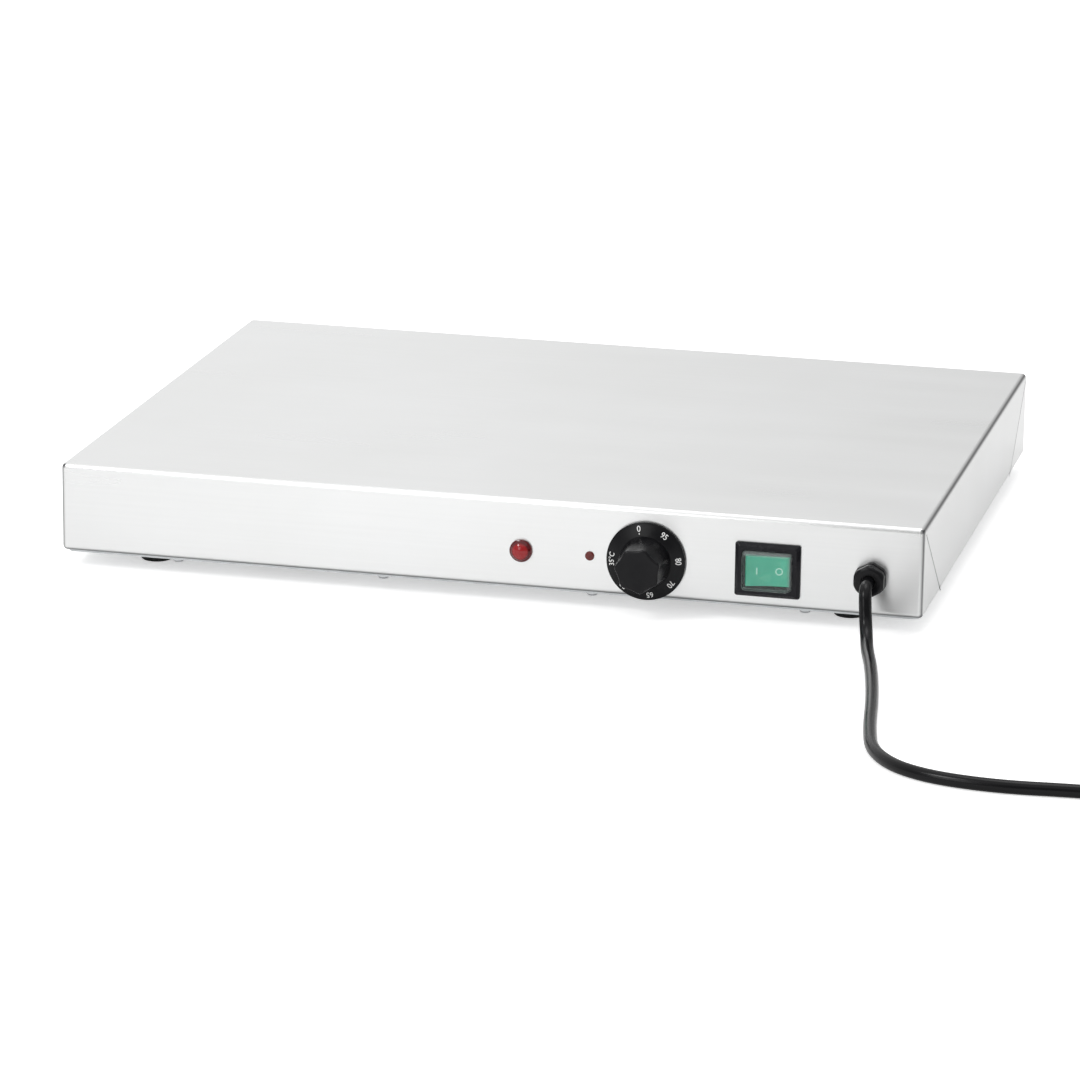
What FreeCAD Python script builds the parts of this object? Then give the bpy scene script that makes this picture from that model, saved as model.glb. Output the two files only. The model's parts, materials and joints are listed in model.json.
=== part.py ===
import FreeCAD, Part
import math
import os

# Electric warming tray: a low folded steel box whose brushed top is a hot plate.
# Millimetres. +X is to the right, +Y to the back and +Z up. The feet stand on z = 0,
# and the origin lies under the middle of the tray, its dial included.
# A distance "forward" is measured out of the front panel's face, so it is negative inside.

V = FreeCAD.Vector

# Housing, one blank folded on all sides, its corners mitred on the short sides
housing_width = 500.0
housing_depth = 370.0
housing_height = 51.5
sheet = 1.0
bend_radius = 3.0  # outside of every fold
return_flange = 14.0
seam_run = 59.5  # the mitre meets the lower edge this far round the corner
seam_gap = 0.35
seam_start = 0.8  # below the corner's round
seam_notch = 2.4
flange_corner_gap = 1.2

# Base plate under the return flanges
base_sheet = 1.0
base_inset = 2.5
base_corner_radius = 4.0
vent_count = 8
vent_length = 26.0
vent_width = 3.0
vent_pitch = 8.0
vent_group_from_side = 132.0
vent_from_front = 32.0

# Screws that hold the base plate, and the press nuts that they bite in
end_screw_from_side = 67.45  # on the long sides
end_screw_from_front = 124.15  # on the short sides
screws_long_side = 4
screws_short_side = 2
screw_inset = 8.5
m4_radius = 2.0
m4_hole = 2.3
m4_nut_bore = 2.1
m4_head_radius = 4.0
m4_head_height = 2.5
base_screw_length = 8.0
press_nut_radius = 3.9
press_nut_height = 3.0

# Feet
foot_height = 9.0
foot_top_radius = 10.4
foot_bottom_radius = 9.2
foot_edge = 0.6
foot_from_side = 46.5
foot_from_front = 33.0
foot_bore_radius = 5.4
foot_bore_depth = 5.0
foot_washer_radius = 4.9
foot_washer_sheet = 0.8
foot_screw_length = 12.0
nut_width = 7.0
nut_height = 3.2

# Hot plate stack, from the steel top down
control_bay = 52.0  # room behind the front panel that the stack leaves free
stack_side_gap = 28.0
stack_back_gap = 24.0
spreader_sheet = 1.5
mat_thickness = 1.4
mat_inset = 8.0
insulation_thickness = 12.0
tray_sheet = 0.8
tray_inset = 2.0
tray_corner_radius = 4.0
stud_pitch_x = 160.0
stud_from_edge = 60.0
stud_spare = 6.0

# Sensor of the thermostat, and the safety cut-out
bulb_radius = 3.0
bulb_length = 80.0
bulb_from_tray_front = 42.0
capillary_radius = 0.9
capillary_lead = 14.0
groove_clearance = 0.4
cutout_radius = 8.0
cutout_height = 8.0
cutout_x = -70.0
cutout_from_tray_front = 42.0

# Controls, all on one line of the front panel and measured from the housing's right side
control_height = 21.5  # above the housing's lower edge
lamp_from_side = 228.5
index_from_side = 189.0
dial_from_side = 156.5
switch_from_side = 87.5
gland_from_side = 29.5

# Pilot lamp
lamp_lens_radius = 6.5
lamp_rim = 1.2
lamp_dome = 3.4
lamp_body_radius = 5.0
lamp_body_length = 22.0
lamp_nut_width = 13.0
lamp_nut_height = 3.0
lamp_blade_up = 2.2

# Index mark beside the dial
index_radius = 2.65
index_head = 0.8
index_pin_radius = 1.5
index_pin_length = 4.0

# Dial
dial_radius = 22.5
dial_gap = 0.8
dial_rim = 1.2
dial_rim_width = 1.5
dial_rim_rise = 0.7
dial_skirt_rise = 2.6
dial_reach = 24.0  # how far the grip's face stands off the panel
dial_wall = 1.4
grip_base_radius = 15.2
grip_ridge_radius = 12.9
grip_valley_radius = 11.5
grip_ridge_round = 3.0
grip_ridges = 7
grip_turn = 72.0  # angle of the first ridge, counted from +X
grip_edge = 1.2
hub_radius = 5.6

# Thermostat
shaft_radius = 3.0
shaft_flat = 0.9
shaft_clearance = 0.1
shaft_forward = 19.0
shaft_inside = 12.0
thermostat_width = 44.0
thermostat_height = 36.0
thermostat_depth = 20.0
mounting_plate = 1.5
mounting_plate_width = 38.0
mounting_plate_height = 26.0
thermostat_screw_pitch = 28.0
thermostat_screw_length = 6.0
thermostat_head_height = 1.5
thermostat_head_radius = 3.4
thermostat_blade_x = 12.0
thermostat_blade_up = 8.0

# Rocker switch for a 30 x 22 cut-out
switch_body_width = 29.8
switch_body_height = 21.8
switch_body_depth = 24.0
switch_cut_clearance = 0.2
bezel_width = 32.0
bezel_height = 24.5
bezel_thickness = 1.6
rocker_radius = 12.7  # from the pivot to the rocker's ends
rocker_height = 17.0
rocker_corner_angle = 20.0
rocker_hollow = 1.3
rocker_tilt = 10.0  # to each side of the middle
rocker_clearance = 0.35
pivot_below_bezel = 2.0
trunnion_radius = 1.25
trunnion_length = 0.9
well_depth = 10.0
switch_blade_x = 9.0
switch_blade_up = 5.0

# Splash cover of the switch: a black frame that clamps a clear cap
frame_width = 37.0
frame_height = 31.0
frame_thickness = 3.0
frame_chamfer = 2.0
frame_corner_radius = 1.5
cap_width = 28.4
cap_height = 22.4
cap_taper = 1.0
cap_reach = 9.0
cap_wall = 0.8
cap_flange = 0.6
cap_corner_radius = 2.0
cap_edge = 0.7
cap_clearance = 0.2

# Blade terminals on the switch, thermostat, lamp and cut-out
blade_width = 6.3
blade_thickness = 0.8
blade_length = 8.0

# Cable gland
gland_flange_width = 17.4
gland_flange_corner = 9.3
gland_flange_thickness = 3.0
gland_thread_radius = 7.5
gland_thread_length = 9.0
gland_stub_radius = 6.4
gland_stub_length = 4.4
gland_bore = 5.0
gland_nut_width = 16.8
gland_nut_corner = 9.0
gland_nut_length = 6.2
gland_nut_mouth = 4.4
gland_nut_shoulder = 2.4
gland_lip = 1.6
locknut_width = 19.0
locknut_height = 4.0

# Supply cord
cord_diameter = 7.1
cord_inside = 20.0  # jacket behind the panel
core_radius = 1.2
core_pitch = 2.9
coil_radius = 47.0  # of the outermost turn's centre line
coil_gap = 0.8
coil_quarters = 25
coil_from_side = 175.0  # the coil lies to the right of the tray
coil_start_forward = 249.6

# Terminal block and earth stud in the control bay
block_from_front = 36.0
block_width = 30.0
block_depth = 14.0
block_height = 15.0
block_way_pitch = 9.0
block_bore = 1.5
block_screw_radius = 1.4
earth_from_side = 74.0
earth_from_front = 43.0
earth_stud_height = 11.0
lug_sheet = 0.8
lug_radius = 4.2
lug_tongue = 9.0
barrel_length = 5.0
barrel_wall = 0.5

# Inner wiring
heater_port_from_capillary = 40.0
heater_port_pitch = 10.0
lead_run = 6.0  # straight off a blade
lead_rise = 4.0
lead_in_block = 3.0
lead_side = 14.0
way_run = 10.0  # straight into the terminal block
front_lane = 42.0  # behind the panel
rear_lane = 46.0

# Plug, a round two-pin plug with side earth contacts
plug_radius = 18.8
plug_length = 72.0
plug_face_length = 12.0
plug_waist_radius = 11.5
relief_radius = 5.2
relief_root_radius = 6.6
relief_length = 26.0
relief_grooves = 5
relief_groove_depth = 0.9
pin_radius = 2.4
pin_length = 19.0
pin_pitch = 19.0
earth_strip_width = 8.0
earth_strip_depth = 1.6
earth_strip_length = 26.0
earth_hole_radius = 2.6
earth_hole_offset = 10.0
pin_taper = 1.4
earth_clip_sheet = 0.8

# Places worked out from the sizes above
z_edge = foot_height + base_sheet
z_top = z_edge + housing_height
z_under = z_top - sheet
z_controls = z_edge + control_height
x_side = housing_width / 2
lamp_x = x_side - lamp_from_side
index_x = x_side - index_from_side
dial_x = x_side - dial_from_side
switch_x = x_side - switch_from_side
gland_x = x_side - gland_from_side
block_x = gland_x  # the terminal block stands behind the gland
earth_x = x_side - earth_from_side
coil_centre_x = x_side + coil_from_side
vent_group_x = x_side - vent_group_from_side
long_screw_pitch = (housing_width - 2 * end_screw_from_side) / (screws_long_side - 1)
short_screw_pitch = (housing_depth - 2 * end_screw_from_front) / (screws_short_side - 1)
y_front = dial_reach - (housing_depth + dial_reach) / 2
y_back = y_front + housing_depth
y_mid = (y_front + y_back) / 2
stack_x = x_side - stack_side_gap
stack_front = y_front + control_bay
stack_back = y_back - stack_back_gap
z_mat = z_under - spreader_sheet
z_insulation = z_mat - mat_thickness
z_tray = z_insulation - insulation_thickness
z_tray_under = z_tray - tray_sheet
bulb_y = stack_front + bulb_from_tray_front
z_bulb = z_insulation - bulb_radius
cutout_y = stack_front + cutout_from_tray_front
pivot_forward = bezel_thickness - pivot_below_bezel
thermostat_back = sheet + mounting_plate + thermostat_depth
nut_face = gland_flange_thickness + gland_nut_length
cord_radius = cord_diameter / 2
barrel_radius = core_radius + barrel_wall


def save(name, shape):
    """Writes one named piece, or one group of like pieces, as a STEP file."""
    shape.exportStep(f"parts/{name}.step")
    return shape


def box(x0, x1, y0, y1, z0, z1):
    return Part.makeBox(x1 - x0, y1 - y0, z1 - z0, V(x0, y0, z0))


def rounded_box(x0, x1, y0, y1, z0, z1, radius):
    block = box(x0, x1, y0, y1, z0, z1)
    return block.makeFillet(radius, block.Edges)


def upright_edges(solid):
    """The straight edges of a solid that run along Z."""
    return [e for e in solid.Edges if abs(e.tangentAt(e.FirstParameter).z) > 0.999]


def post(x, y, radius, z0, z1):
    return Part.makeCylinder(radius, z1 - z0, V(x, y, z0))


def turned(outline):
    """Solid of revolution about Z through a closed outline of (radius, height) corners."""
    corners = [V(r, 0, h) for r, h in outline]
    face = Part.Face(Part.makePolygon(corners + corners[:1]))
    return face.revolve(V(0, 0, 0), V(0, 0, 1), 360)


def prism(width, height, f0, f1, radius=0.0):
    """Block square to Z with its four upright edges rounded."""
    block = box(-width / 2, width / 2, -height / 2, height / 2, f0, f1)
    return block.makeFillet(radius, upright_edges(block)) if radius else block


def hexagon(width, h0, h1, corner_radius):
    """Hexagonal prism about Z, flats at left and right, its corners turned off."""
    across = width / math.sqrt(3)
    points = [V(across * math.cos(math.radians(a)), across * math.sin(math.radians(a)), h0)
              for a in range(30, 390, 60)]
    block = Part.Face(Part.makePolygon(points + points[:1])).extrude(V(0, 0, h1 - h0))
    return block.common(Part.makeCylinder(corner_radius, h1 - h0, V(0, 0, h0)))


def nut(width, h0, h1, bore):
    corner = width * 0.555
    return hexagon(width, h0, h1, corner).cut(Part.makeCylinder(bore, h1 - h0, V(0, 0, h0)))


def ring(outer, inner, h0, h1):
    return turned([(inner, h0), (outer, h0), (outer, h1), (inner, h1)])


def pan_screw(length, head_radius, head_height):
    """Pan head screw about Z: head below z = 0, shank above it."""
    shoulder = head_radius * 0.62
    return turned([(0, -head_height), (shoulder, -head_height), (head_radius, -head_height * 0.4),
                   (head_radius, 0), (m4_radius, 0), (m4_radius, length), (0, length)])


def at(shape, x, y, z):
    moved = shape.copy()
    moved.translate(V(x, y, z))
    return moved


def on_panel(shape, x):
    """Turns a shape made about Z to face forward from the front panel at x on the control line."""
    moved = shape.copy()
    moved.rotate(V(0, 0, 0), V(1, 0, 0), 90)
    moved.translate(V(x, y_front, z_controls))
    return moved


def round_route(points):
    """Path of straight runs joined by tangent arcs, and the radii of those arcs."""
    share = 0.45  # of the shorter run, cut off at each corner
    edges, radii = [], []
    start = points[0]
    for before, corner, after in zip(points, points[1:], points[2:]):
        come, go = corner - before, after - corner
        half_turn = come.getAngle(go) / 2
        cut = share * min(come.Length, go.Length)
        radius = cut / math.tan(half_turn)
        come.normalize()
        go.normalize()
        first, last = corner - come * cut, corner + go * cut
        inward = go - come
        inward.normalize()
        middle = corner + inward * (radius / math.cos(half_turn) - radius)
        edges.append(Part.LineSegment(start, first).toShape())
        edges.append(Part.Arc(first, middle, last).toShape())
        radii.append(radius)
        start = last
    edges.append(Part.LineSegment(start, points[-1]).toShape())
    return Part.Wire(edges), radii


def tube_along(path, start, direction, radius):
    """Round tube swept along a path."""
    section = Part.Wire(Part.Circle(start, direction, radius).toShape())
    tube = path.makePipeShell([section], True, False)
    true_volume = math.pi * radius ** 2 * path.Length
    assert abs(tube.Volume / true_volume - 1) < 0.01
    return tube


def lead(points, radius=core_radius):
    path, _ = round_route(points)
    return tube_along(path, points[0], points[1] - points[0], radius)


# Top housing
# Folded like a shoe box lid. Each long side wraps round the corner as a tab,
# and a slanting butt seam on the short side closes it. The lower edges fold inward.
base_screw_places = []
for i in range(screws_long_side):
    along = (i - (screws_long_side - 1) / 2) * long_screw_pitch
    base_screw_places.append((along, y_front + screw_inset))
    base_screw_places.append((along, y_back - screw_inset))
for i in range(screws_short_side):
    along = y_mid + (i - (screws_short_side - 1) / 2) * short_screw_pitch
    base_screw_places.append((screw_inset - x_side, along))
    base_screw_places.append((x_side - screw_inset, along))


def housing_seam(side, end):
    """Cutter for the mitre seam, its foot notch and the gap between the return flanges."""
    y_end, inward = (y_front, 1) if end < 0 else (y_back, -1)
    wall_x = side * (x_side - sheet / 2)
    top = V(wall_x, y_end + inward * bend_radius, z_top - bend_radius)
    foot = V(wall_x, y_end + inward * seam_run, z_edge - 1)
    along = foot - top
    top = top + along.normalize() * seam_start
    along = foot - top
    slit = Part.makeBox(3 * sheet, seam_gap, along.Length, V(-1.5 * sheet, -seam_gap / 2, 0))
    slit.Placement = FreeCAD.Placement(top, FreeCAD.Rotation(V(0, 0, 1), along))
    notch = box(-return_flange, 1, -seam_notch / 2, seam_notch / 2, -1, bend_radius)
    notch.rotate(V(0, 0, 0), V(0, 0, 1), 0 if side > 0 else 180)
    notch.translate(V(side * x_side, foot.y, z_edge))
    reach = (return_flange - bend_radius) * math.sqrt(2)
    gap = box(-flange_corner_gap, reach, -flange_corner_gap / 2, flange_corner_gap / 2, -1, 2 * sheet)
    gap.rotate(V(0, 0, 0), V(0, 0, 1), math.degrees(math.atan2(-inward, side)))
    gap.translate(V(side * (x_side - return_flange), y_end + inward * return_flange, z_edge))
    return [slit, notch, gap]


blank = rounded_box(-x_side, x_side, y_front, y_back, z_edge, z_top, bend_radius)
hollow = rounded_box(sheet - x_side, x_side - sheet, y_front + sheet, y_back - sheet,
                     z_edge + sheet, z_under, bend_radius - sheet)
mouth = box(return_flange - x_side, x_side - return_flange, y_front + return_flange,
            y_back - return_flange, z_edge - 1, z_edge + 2 * sheet)
lamp_hole = on_panel(Part.makeCylinder(lamp_body_radius + 0.1, 4, V(0, 0, -3)), lamp_x)
index_hole = on_panel(Part.makeCylinder(index_pin_radius + 0.05, 4, V(0, 0, -3)), index_x)
shaft_hole = on_panel(Part.makeCylinder(shaft_radius + 2, 4, V(0, 0, -3)), dial_x)
thermostat_holes = [on_panel(Part.makeCylinder(m4_hole, 4, V(0, 0, -3)), dial_x + s)
                    for s in (-thermostat_screw_pitch / 2, thermostat_screw_pitch / 2)]
switch_hole = on_panel(prism(switch_body_width + 2 * switch_cut_clearance,
                             switch_body_height + 2 * switch_cut_clearance, -3, 1), switch_x)
gland_hole = on_panel(Part.makeCylinder(gland_thread_radius + 0.1, 4, V(0, 0, -3)), gland_x)
press_nut_holes = [post(x, y, m4_radius + 0.7, z_edge - 1, z_edge + 2 * sheet)
                   for x, y in base_screw_places]
seams = [cutter for side in (-1, 1) for end in (-1, 1) for cutter in housing_seam(side, end)]
save("top_housing", blank.cut([hollow, mouth, lamp_hole, index_hole, shaft_hole, *thermostat_holes,
                               switch_hole, gland_hole, *press_nut_holes, *seams]))

press_nut = turned([(m4_nut_bore, 0), (m4_radius + 0.65, 0), (m4_radius + 0.65, sheet),
                    (press_nut_radius, sheet), (press_nut_radius, sheet + press_nut_height),
                    (m4_nut_bore, sheet + press_nut_height)])
save("press_nuts", Part.makeCompound([at(press_nut, x, y, z_edge) for x, y in base_screw_places]))

# Base plate
# A flat sheet under the return flanges, with two groups of air slots below the control bay.
foot_places = [(side * (x_side - foot_from_side), y)
               for y in (y_front + foot_from_front, y_back - foot_from_front) for side in (-1, 1)]
base = box(base_inset - x_side, x_side - base_inset, y_front + base_inset, y_back - base_inset,
           foot_height, z_edge)
base = base.makeFillet(base_corner_radius, upright_edges(base))


def air_slot(x, y):
    half = vent_length / 2 - vent_width / 2
    ends = [post(x, y + s * half, vent_width / 2, foot_height - 1, z_edge + 1) for s in (-1, 1)]
    middle = box(x - vent_width / 2, x + vent_width / 2, y - half, y + half,
                 foot_height - 1, z_edge + 1)
    return middle.fuse(ends)


air_slots = [air_slot(side * vent_group_x + (i - (vent_count - 1) / 2) * vent_pitch,
                      y_front + vent_from_front)
             for side in (-1, 1) for i in range(vent_count)]
base_holes = [post(x, y, m4_hole, foot_height - 1, z_edge + 1)
              for x, y in base_screw_places + foot_places]
block_y = y_front + block_from_front
block_screw_places = [(block_x + s * block_way_pitch / 2, block_y + block_depth / 2)
                      for s in (-1, 1)]
base_holes += [post(x, y, block_screw_radius + 0.05, foot_height - 1, z_edge + 1)
               for x, y in block_screw_places]
save("base_plate", base.cut(base_holes + air_slots))

base_screw = pan_screw(base_screw_length, m4_head_radius, m4_head_height)
save("base_screws", Part.makeCompound([at(base_screw, x, y, foot_height)
                                       for x, y in base_screw_places]))

# Feet
# Tapered rubber feet, each held by a screw and washer sunk in its bore, with a nut inside.
foot = turned([(foot_bore_radius, 0), (foot_bottom_radius - foot_edge, 0),
               (foot_bottom_radius, foot_edge), (foot_top_radius, foot_height),
               (m4_hole, foot_height), (m4_hole, foot_bore_depth),
               (foot_bore_radius, foot_bore_depth)])
foot_washer = ring(foot_washer_radius, m4_hole, foot_bore_depth - foot_washer_sheet, foot_bore_depth)
foot_screw = at(pan_screw(foot_screw_length, m4_head_radius, m4_head_height),
                0, 0, foot_bore_depth - foot_washer_sheet)
foot_nut = nut(nut_width, z_edge, z_edge + nut_height, m4_nut_bore)
for name, (x, y) in zip(("front_left", "front_right", "rear_left", "rear_right"), foot_places):
    save(f"foot_{name}", at(foot, x, y, 0))
save("foot_washers", Part.makeCompound([at(foot_washer, x, y, 0) for x, y in foot_places]))
save("foot_screws", Part.makeCompound([at(foot_screw, x, y, 0) for x, y in foot_places]))
save("foot_nuts", Part.makeCompound([at(foot_nut, x, y, 0) for x, y in foot_places]))

# Hot plate stack
# An aluminium spreader and a silicone heating mat lie under the steel top. A sheet tray
# presses mineral wool up against them, and hangs on studs welded to the top.
stud_places = [(i * stud_pitch_x, y) for i in (-1, 0, 1)
               for y in (stack_front + stud_from_edge, stack_back - stud_from_edge)]
stud_end = z_tray_under - stud_spare
stud_holes = [post(x, y, m4_hole, z_tray_under - 1, z_under) for x, y in stud_places]


def layer(inset, z0, z1):
    return box(inset - stack_x, stack_x - inset, stack_front + inset, stack_back - inset, z0, z1)


save("heat_spreader", layer(0, z_mat, z_under).cut(stud_holes))
save("heating_mat", layer(mat_inset, z_insulation, z_mat).cut(stud_holes))

bulb_groove = box(-groove_clearance, bulb_length + capillary_lead + 2 * capillary_radius,
                  bulb_y - bulb_radius - groove_clearance, bulb_y + bulb_radius + groove_clearance,
                  z_bulb - bulb_radius - groove_clearance, z_insulation)
capillary_x = bulb_length + capillary_lead
capillary_groove = box(capillary_x - 2 * capillary_radius, capillary_x + 2 * capillary_radius,
                       stack_front, bulb_y, z_bulb - 2 * capillary_radius, z_insulation)
cutout_pocket = post(cutout_x, cutout_y, cutout_radius + groove_clearance, z_tray, z_insulation)
save("insulation_mat", layer(mat_inset, z_tray, z_insulation).cut(
    stud_holes + [bulb_groove, capillary_groove, cutout_pocket]))

pan = layer(tray_inset, z_tray_under, z_mat)
pan = pan.makeFillet(tray_corner_radius, upright_edges(pan))
pan_inside = layer(tray_inset + tray_sheet, z_tray, z_mat)
pan_inside = pan_inside.makeFillet(tray_corner_radius - tray_sheet, upright_edges(pan_inside))
wall_y = stack_front + tray_inset
capillary_port = Part.makeCylinder(2 * capillary_radius, 3 * tray_sheet,
                                   V(capillary_x, wall_y - tray_sheet, z_bulb), V(0, 1, 0))
first_heater_port = capillary_x - heater_port_from_capillary
heater_lead_places = (first_heater_port, first_heater_port + heater_port_pitch)
z_heater_lead = z_insulation - core_radius - 0.3
lead_ports = [Part.makeCylinder(core_radius + 0.3, mat_inset,
                                V(x, wall_y - tray_sheet, z_heater_lead), V(0, 1, 0))
              for x in heater_lead_places]
cutout_port = post(cutout_x, cutout_y, cutout_radius - 1, z_tray_under - 1, z_tray)
save("insulation_tray", pan.cut([pan_inside, capillary_port, cutout_port, *lead_ports, *stud_holes]))

save("weld_studs", Part.makeCompound([post(x, y, m4_radius, stud_end, z_under)
                                      for x, y in stud_places]))
tray_nut = nut(nut_width, -nut_height, 0, m4_nut_bore)
save("tray_nuts", Part.makeCompound([at(tray_nut, x, y, z_tray_under) for x, y in stud_places]))

# Temperature sensing
# A liquid-filled bulb and its capillary lie in a groove under the mat, and a snap-disc
# cut-out stands in a pocket beside them.
save("sensor_bulb", Part.makeCylinder(bulb_radius, bulb_length, V(0, bulb_y, z_bulb), V(1, 0, 0)))
z_capillary_entry = z_controls + thermostat_height / 2 - 5
entry_y = y_front + thermostat_back
bay_y = entry_y + 12
save("capillary_tube", lead([V(bulb_length, bulb_y, z_bulb), V(capillary_x, bulb_y, z_bulb),
                             V(capillary_x, bay_y, z_bulb), V(capillary_x, bay_y, z_capillary_entry),
                             V(capillary_x, entry_y, z_capillary_entry)], capillary_radius))
z_cutout = z_insulation - cutout_height
save("cutout_body", post(cutout_x, cutout_y, cutout_radius, z_cutout, z_insulation))


def blades(places, f0, f1, upright=False):
    """Flat blade terminals about Z at the given places, from f0 to f1."""
    wide, thick = (blade_thickness, blade_width) if upright else (blade_width, blade_thickness)
    return Part.makeCompound([at(prism(wide, thick, f0, f1), x, y, 0) for x, y in places])


save("cutout_blades", at(blades([(-3.5, 0), (3.5, 0)], z_cutout - blade_length, z_cutout, True),
                         cutout_x, cutout_y, 0))

# Thermostat behind the dial
inside = -sheet
plate = prism(mounting_plate_width, mounting_plate_height, inside - mounting_plate, inside)
case = prism(thermostat_width, thermostat_height, -thermostat_back, inside - mounting_plate, 2.0)
bearing = Part.makeCylinder(shaft_radius + shaft_clearance, shaft_inside - 1, V(0, 0, -shaft_inside))
screw_bores = [Part.makeCylinder(m4_nut_bore, thermostat_screw_length,
                                 V(s * thermostat_screw_pitch / 2, 0, -thermostat_screw_length - 0.5))
               for s in (-1, 1)]
save("thermostat_body", on_panel(plate.fuse(case).cut([bearing, *screw_bores]), dial_x))
thermostat_blade_places = [(s * thermostat_blade_x, t * thermostat_blade_up)
                           for s in (-1, 1) for t in (-1, 1)]
save("thermostat_blades", on_panel(blades(thermostat_blade_places, -thermostat_back - blade_length,
                                          -thermostat_back), dial_x))
thermostat_screw = pan_screw(thermostat_screw_length, thermostat_head_radius, thermostat_head_height)
thermostat_screw.rotate(V(0, 0, 0), V(1, 0, 0), 180)
save("thermostat_screws", on_panel(Part.makeCompound(
    [at(thermostat_screw, s * thermostat_screw_pitch / 2, 0, 0) for s in (-1, 1)]), dial_x))


def d_bar(radius, h0, h1):
    """Round bar about Z with one flat on its upper side."""
    flat_height = shaft_radius - shaft_flat + (radius - shaft_radius)
    keep = box(-radius, radius, -radius, flat_height, h0, h1)
    return Part.makeCylinder(radius, h1 - h0, V(0, 0, h0)).common(keep)


# Thermostat shaft and dial
# The moulded dial is a dished skirt and a hollow fluted grip, with a hub on the shaft's flat.
shaft = Part.makeCylinder(shaft_radius, shaft_inside, V(0, 0, 0.3 - shaft_inside))
save("thermostat_shaft", on_panel(shaft.fuse(d_bar(shaft_radius, 0.3, shaft_forward)).removeSplitter(),
                                  dial_x))


def polar(radius, angle, height):
    return V(radius * math.cos(angle), radius * math.sin(angle), height)


def grip_outlines():
    """Round outline at the skirt and fluted outline at the face, split at the same angles.

    Ridges are small arcs and flutes are wide hollow arcs tangent to them: the flute's
    radius follows from the two centre distances and the angle between them.
    """
    step = math.pi / grip_ridges
    first_ridge = math.radians(grip_turn)
    a = grip_ridge_radius - grip_ridge_round
    v = grip_valley_radius
    c = math.cos(step)
    flute = ((grip_ridge_round ** 2 - a ** 2 - v ** 2 + 2 * a * v * c)
             / (2 * (v - a * c - grip_ridge_round)))
    far = v + flute
    base_edges, face_edges = [], []
    z_base = dial_gap + dial_rim
    for i in range(grip_ridges):
        at_ridge = first_ridge + 2 * i * step
        ridge_centre = polar(a, at_ridge, dial_reach)
        joints = []
        for turn in (-step, step):
            to_flute = polar(far, at_ridge + turn, dial_reach) - ridge_centre
            to_flute.normalize()
            joints.append(ridge_centre + to_flute * grip_ridge_round)
        joint_radius = math.hypot(joints[1].x, joints[1].y)
        spread = math.asin((joints[1] - joints[0]).Length / 2 / joint_radius)
        next_joint = polar(joint_radius, at_ridge + 2 * step - spread, dial_reach)
        face_edges.append(Part.Arc(joints[0], polar(grip_ridge_radius, at_ridge, dial_reach),
                                   joints[1]).toShape())
        face_edges.append(Part.Arc(joints[1], polar(v, at_ridge + step, dial_reach),
                                   next_joint).toShape())
        for first, last in ((at_ridge - spread, at_ridge + spread),
                            (at_ridge + spread, at_ridge + 2 * step - spread)):
            base_edges.append(Part.Arc(polar(grip_base_radius, first, z_base),
                                       polar(grip_base_radius, (first + last) / 2, z_base),
                                       polar(grip_base_radius, last, z_base)).toShape())
    return Part.Wire(base_edges), Part.Wire(face_edges)


skirt_front = dial_gap + dial_rim
rim_front = skirt_front + dial_rim_rise
cone_top = skirt_front + dial_skirt_rise
skirt = turned([(0, dial_gap), (dial_radius, dial_gap), (dial_radius, skirt_front),
                (dial_radius - dial_rim_width, rim_front), (grip_base_radius, cone_top),
                (0, cone_top)])
grip = Part.makeLoft(list(grip_outlines()), True, True)
face_rim = [e for e in grip.Edges if e.BoundBox.ZMin > dial_reach - 0.01]
grip = grip.makeFillet(grip_edge, face_rim)
grip_slope = (grip_base_radius - grip_valley_radius) / (dial_reach - skirt_front)
roof = dial_reach - dial_wall - 0.6
dish = turned([(0, dial_gap - 1), (dial_radius - dial_wall, dial_gap - 1),
               (dial_radius - dial_wall, dial_gap + 0.2),
               (grip_base_radius, cone_top - dial_wall),
               (grip_base_radius - 1.2 * dial_wall, cone_top),
               (grip_base_radius - 1.2 * dial_wall - grip_slope * (roof - cone_top), roof), (0, roof)])
hub = Part.makeCylinder(hub_radius, roof + 0.5 - skirt_front, V(0, 0, skirt_front))
hub_bore = d_bar(shaft_radius + shaft_clearance, 0, shaft_forward + 0.5)
dial = skirt.fuse(grip).cut(dish).fuse(hub).cut(hub_bore).removeSplitter()
save("dial_knob", on_panel(dial, dial_x))

# Index mark
save("index_marker", on_panel(turned([(0, -index_pin_length), (index_pin_radius, -index_pin_length),
                                      (index_pin_radius, 0), (index_radius, 0),
                                      (index_radius, index_head * 0.5),
                                      (index_radius * 0.7, index_head), (0, index_head)]), index_x))

# Pilot lamp
lens_top = lamp_rim + lamp_dome
rim_corner = V(lamp_lens_radius - 0.8, 0, lamp_rim + 0.5)
dome_height = lens_top - rim_corner.z
dome_radius = (rim_corner.x ** 2 + dome_height ** 2) / (2 * dome_height)
half_dome = math.asin(rim_corner.x / dome_radius) / 2
dome_arc = Part.Arc(rim_corner, V(dome_radius * math.sin(half_dome), 0,
                                  lens_top - dome_radius * (1 - math.cos(half_dome))),
                    V(0, 0, lens_top)).toShape()
lens_edge = Part.makePolygon([V(0, 0, lens_top), V(0, 0, 0), V(lamp_lens_radius, 0, 0),
                              V(lamp_lens_radius, 0, lamp_rim), rim_corner])
lens_face = Part.Face(Part.Wire(lens_edge.Edges + [dome_arc]))
save("lamp_lens", on_panel(lens_face.revolve(V(0, 0, 0), V(0, 0, 1), 360), lamp_x))
save("lamp_body", on_panel(Part.makeCylinder(lamp_body_radius, lamp_body_length,
                                             V(0, 0, -lamp_body_length)), lamp_x))
save("lamp_nut", on_panel(nut(lamp_nut_width, inside - lamp_nut_height, inside,
                              lamp_body_radius + 0.1), lamp_x))
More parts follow.
